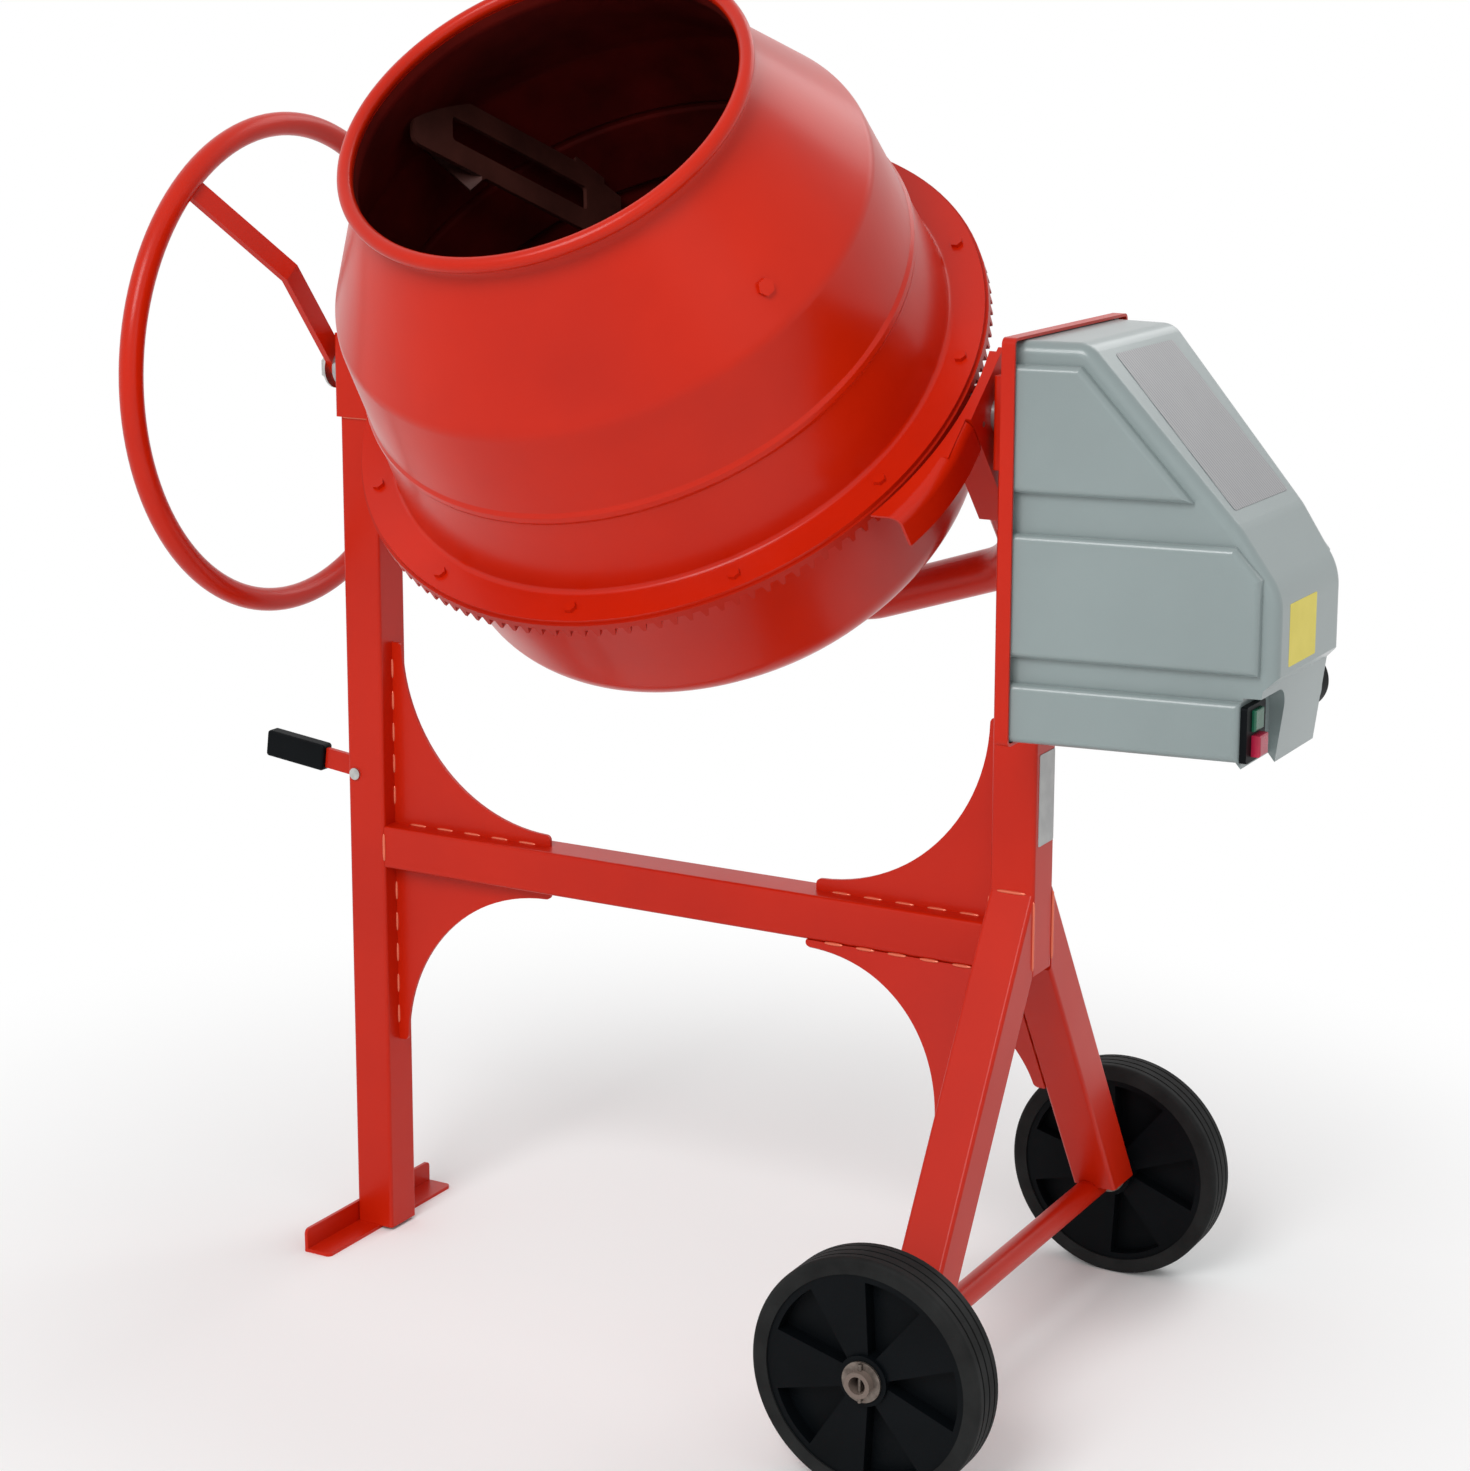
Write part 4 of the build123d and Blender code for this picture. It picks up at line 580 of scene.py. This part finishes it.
class MIXER_OT_welds(bpy.types.Operator):
    """Lays the weld tacks and beads of the frame and the yoke"""

    bl_idname = "mixer.welds"
    bl_label = "Welds"

    def execute(self, context):
        radius = context.scene.mixer_sizes.weld_radius
        tube = bpy.data.materials["frame_paint"]
        pattern = tack("weld_tack", TACK, radius)
        weld("gusset_welds", pattern, self.gussets(), tube, "frame")
        weld("joint_welds", pattern, self.joints(), tube, "frame")
        weld("saddle_welds", pattern, self.saddles(), tube, "frame")
        weld("handwheel_welds", pattern, self.spoke(), bpy.data.materials["drum_paint"], "yoke")
        bpy.data.objects.remove(pattern)
        return {"FINISHED"}

    def gussets(self):
        """Tacks on both sides of each gusset, along the posts, the beam and the legs."""
        inner = RIGHT_POST - POST
        near, far = GUSSET_RUN
        for side in (-1, 1):
            y = side * GUSSET_SIDE
            for x, way, z, rise in ((POST, 1, BEAM[1], 1), (POST, 1, BEAM[0], -1),
                                    (inner, -1, BEAM[1], 1)):
                yield from tack_places((x, y, z + rise * near), (x, y, z + rise * far),
                                       (way, side, 0.0), TACK_STEP, TACK)
                yield from tack_places((x + way * near, y, z), (x + way * far, y, z),
                                       (0.0, side, rise), TACK_STEP, TACK)
            y = side * (POST + 0.0005)
            yield from tack_places((inner - 0.012, y, BEAM[0]), (inner - 0.200, y, BEAM[0]),
                                   (0.0, side, -0.8), TACK_STEP, TACK)
            down = Vector((0.0, side * math.sin(LEG_LEAN), -math.cos(LEG_LEAN)))
            face = Vector((-1.0, side * math.cos(LEG_LEAN), math.sin(LEG_LEAN)))
            top = Vector((inner, y, BEAM[0]))
            yield from tack_places(top + down * 0.014, top + down * far, face,
                                   TACK_STEP, TACK)

    def joints(self):
        """Beads round the beam's ends, the legs' upper ends, the foot and the axle."""
        for side in (-1, 1):
            y = side * (POST + 0.0002)
            for x in (POST, RIGHT_POST - POST):
                yield from tack_places((x, y, BEAM[0] + 0.004), (x, y, BEAM[1] - 0.004),
                                       (0.0, side, 0.0), BEAD_STEP, TACK)
            for x, way in ((RIGHT_POST - POST, -1), (RIGHT_POST + POST, 1)):
                yield from tack_places((x, side * POST, 0.536), (x, side * POST, BEAM[0] + 0.004),
                                       (way, side * 0.3, 0.0), BEAD_STEP, TACK)
            yield from tack_places((RIGHT_POST - 0.021, y, LEG_TOP), (RIGHT_POST + 0.021, y, LEG_TOP),
                                   (0.0, side, 1.0), BEAD_STEP, TACK)
            middle, half, height = AXLE_PLACE
            for way in (-1, 1):
                x = middle + way * half
                yield from tack_places((x, side * AXLE_WELD[0], height),
                                       (x, side * AXLE_WELD[1], height),
                                       (way, 0.0, 0.4), BEAD_STEP, TACK)
        yield from tack_places((-POST - 0.0005, -0.021, 0.028), (-POST - 0.0005, 0.021, 0.028),
                               (-1.0, 0.0, 1.0), BEAD_STEP, TACK)

    def saddles(self):
        """Beads under the saddles, all round the left post and on three sides of the right one."""
        low = SADDLE_LOW
        for centre in (0.0, RIGHT_POST):
            for side in (-1, 1):
                y, x = side * (POST + 0.0008), centre + side * (POST + 0.0008)
                yield from tack_places((centre - 0.023, y, low), (centre + 0.023, y, low),
                                       (0.0, side, -1.0), BEAD_STEP, TACK)
                if x < RIGHT_POST + POST:
                    yield from tack_places((x, -0.023, low), (x, 0.023, low),
                                           (side, 0.0, -1.0), BEAD_STEP, TACK)

    def spoke(self):
        """A tack across each end of the handwheel's spoke."""
        turn = WHEEL_TURN
        plane, radius = WHEEL_PLACE
        along = Vector((0.0, -math.sin(turn), math.cos(turn)))
        for side in (-1, 1):
            out = Vector((0.0, math.cos(turn), math.sin(turn))) * side
            spot = Vector((plane, 0.0, TILT_HEIGHT)) + out * radius
            for way in (-1, 1):
                middle = spot + Vector((way * 0.0045, 0.0, 0.0))
                yield between(middle - along * TACK / 2, middle + along * TACK / 2,
                              Vector((way, 0.0, 0.0)) - out)


class MIXER_OT_labels(bpy.types.Operator):
    """Sticks blank labels on the hood and on the right post"""

    bl_idname = "mixer.labels"
    bl_label = "Blank labels"

    def execute(self, context):
        c = context.scene.mixer_colours
        thick = context.scene.mixer_sizes.label_thick
        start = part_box("motor_hood")[0].x
        top = Vector((start + SLOPE[0][0], HOOD_Y, TILT_HEIGHT + SLOPE[0][1]))
        foot = Vector((start + SLOPE[1][0], HOOD_Y, TILT_HEIGHT + SLOPE[1][1]))
        film = striped("grey_film", (0.20, 0.20, 0.21), (0.30, 0.30, 0.31), 120.0)
        slope = label("slope_label", 0.192, 0.150, thick, 0.004)
        settle(slope, between(top, foot, (1.0, 0.0, 1.0)), film, "frame")
        yellow = mottled("yellow_film", scaled(c.yellow, 0.94), c.yellow, 30.0,
                         (0.30, 0.42), 900.0, 0.0001)
        front = label("front_label", 0.062, 0.078, thick, 0.002)
        x, z = start + HOOD_FRONT - thick * 0.8, TILT_HEIGHT - 0.186
        settle(front, between((x, -0.018, z + 0.031), (x, -0.018, z - 0.031), (1.0, 0.0, 0.0)),
               yellow, "frame")
        silver = mottled("silver_film", (0.36, 0.36, 0.36), (0.46, 0.46, 0.45), 40.0,
                         (0.28, 0.40), 900.0, 0.0001)
        post = label("post_label", 0.098, 0.038, thick, 0.002)
        x = RIGHT_POST + POST
        settle(post, between((x, 0.0025, 0.688), (x, 0.0025, 0.590), (1.0, 0.0, 0.0)),
               silver, "frame")
        return {"FINISHED"}


class MIXER_OT_stage(bpy.types.Operator):
    """Builds the floor, the lights, the world and the camera"""

    bl_idname = "mixer.stage"
    bl_label = "Studio"

    def execute(self, context):
        sizes = context.scene.mixer_sizes
        bpy.ops.object.select_all(action="DESELECT")
        bpy.ops.mesh.primitive_plane_add(size=sizes.floor_size, location=(0.4, 0.0, 0.0))
        floor = context.active_object
        floor.name = "studio_floor"
        material, nodes, links, shader = new_material("studio_floor")
        tone = noise(nodes, links, 1.2, 2.0)
        links.new(ramp(nodes, links, tone, [(0.3, (0.93, 0.94, 0.94)), (0.7, (0.95, 0.96, 0.96))]),
                  shader.inputs["Base Color"])
        shader.inputs["Roughness"].default_value = 0.9
        self.fade(nodes, links, shader)
        floor.data.materials.append(material)
        self.world(context)
        for light in (KEY_LIGHT, FILL_LIGHT, BACK_LIGHT):
            self.lamp(*light)
        self.camera(context, sizes)
        view = context.scene.view_settings
        view.view_transform = "Standard"
        return {"FINISHED"}

    def seen(self, nodes, links):
        """One where a ray comes from the camera, a mirror or a glass, else nought."""
        path = nodes.new("ShaderNodeLightPath")
        total = path.outputs["Is Camera Ray"]
        for kind in ("Is Glossy Ray", "Is Transmission Ray"):
            add = nodes.new("ShaderNodeMath")
            add.operation = "ADD"
            add.use_clamp = True
            links.new(total, add.inputs[0])
            links.new(path.outputs[kind], add.inputs[1])
            total = add.outputs["Value"]
        return total

    def fade(self, nodes, links, shader):
        """Turns the floor to plain white with the distance, and keeps the shadow near by."""
        coords = nodes.new("ShaderNodeTexCoord")
        away = nodes.new("ShaderNodeVectorMath")
        away.operation = "LENGTH"
        links.new(coords.outputs["Object"], away.inputs[0])
        far = nodes.new("ShaderNodeMapRange")
        far.interpolation_type = "SMOOTHSTEP"
        far.inputs["From Min"].default_value = SHADOW_FADE[0]
        far.inputs["From Max"].default_value = SHADOW_FADE[1]
        links.new(away.outputs["Value"], far.inputs["Value"])
        both = nodes.new("ShaderNodeMath")
        both.operation = "MULTIPLY"
        links.new(far.outputs["Result"], both.inputs[0])
        links.new(self.seen(nodes, links), both.inputs[1])
        white = nodes.new("ShaderNodeEmission")
        white.inputs["Color"].default_value = (1.0, 1.0, 1.0, 1.0)
        mix = nodes.new("ShaderNodeMixShader")
        links.new(both.outputs["Value"], mix.inputs["Fac"])
        links.new(shader.outputs["BSDF"], mix.inputs[1])
        links.new(white.outputs["Emission"], mix.inputs[2])
        out = next(node for node in nodes if node.type == "OUTPUT_MATERIAL")
        links.new(mix.outputs["Shader"], out.inputs["Surface"])

    def world(self, context):
        world = bpy.data.worlds.new("studio")
        context.scene.world = world
        world.use_nodes = True
        nodes, links = world.node_tree.nodes, world.node_tree.links
        nodes.clear()
        out = nodes.new("ShaderNodeOutputWorld")
        light = nodes.new("ShaderNodeBackground")
        light.inputs["Color"].default_value = (1.0, 1.0, 1.0, 1.0)
        light.inputs["Strength"].default_value = 0.56
        backdrop = nodes.new("ShaderNodeBackground")
        backdrop.inputs["Color"].default_value = (1.0, 1.0, 1.0, 1.0)
        backdrop.inputs["Strength"].default_value = 1.0
        mix = nodes.new("ShaderNodeMixShader")
        links.new(self.seen(nodes, links), mix.inputs["Fac"])
        links.new(light.outputs["Background"], mix.inputs[1])
        links.new(backdrop.outputs["Background"], mix.inputs[2])
        links.new(mix.outputs["Shader"], out.inputs["Surface"])

    def lamp(self, name, place, size, power):
        """A square soft light that faces the drum."""
        data = bpy.data.lights.new(name, "AREA")
        data.shape = "SQUARE"
        data.size = size
        data.energy = power
        lamp = bpy.data.objects.new(name, data)
        bpy.context.collection.objects.link(lamp)
        lamp.location = place
        aim = Vector(LIGHT_AIM) - Vector(place)
        lamp.rotation_euler = aim.to_track_quat("-Z", "Y").to_euler()

    def camera(self, context, sizes):
        data = bpy.data.cameras.new("camera")
        data.lens = sizes.camera_lens
        data.sensor_width = 36.0
        data.shift_x = CAMERA_SHIFT[0]
        data.shift_y = CAMERA_SHIFT[1]
        data.clip_end = 200.0
        camera = bpy.data.objects.new("camera", data)
        context.collection.objects.link(camera)
        camera.location = CAMERA_PLACE
        camera.rotation_euler = CAMERA_TURN
        context.scene.camera = camera


class MIXER_PT_panel(bpy.types.Panel):
    """Sidebar panel with the mixer's operators and settings"""

    bl_label = "Concrete mixer"
    bl_idname = "MIXER_PT_panel"
    bl_space_type = "VIEW_3D"
    bl_region_type = "UI"
    bl_category = "Mixer"

    def draw(self, context):
        layout = self.layout
        for step in STEPS:
            layout.operator(step.bl_idname)
        for group in (context.scene.mixer_colours, context.scene.mixer_sizes):
            for name in group.bl_rna.properties.keys():
                if name not in {"rna_type", "name"}:
                    layout.prop(group, name)


STEPS = (MIXER_OT_finish, MIXER_OT_drum, MIXER_OT_welds, MIXER_OT_labels, MIXER_OT_stage)
CLASSES = (MixerColours, MixerSizes, *STEPS, MIXER_PT_panel)


def register():
    for cls in CLASSES:
        bpy.utils.register_class(cls)
    bpy.types.Scene.mixer_colours = bpy.props.PointerProperty(type=MixerColours)
    bpy.types.Scene.mixer_sizes = bpy.props.PointerProperty(type=MixerSizes)


def unregister():
    del bpy.types.Scene.mixer_sizes
    del bpy.types.Scene.mixer_colours
    for cls in reversed(CLASSES):
        bpy.utils.unregister_class(cls)


def main():
    register()
    bpy.ops.mixer.finish()
    bpy.ops.mixer.drum()
    bpy.ops.mixer.welds()
    bpy.ops.mixer.labels()
    bpy.ops.mixer.stage()


if __name__ == "__main__":
    main()
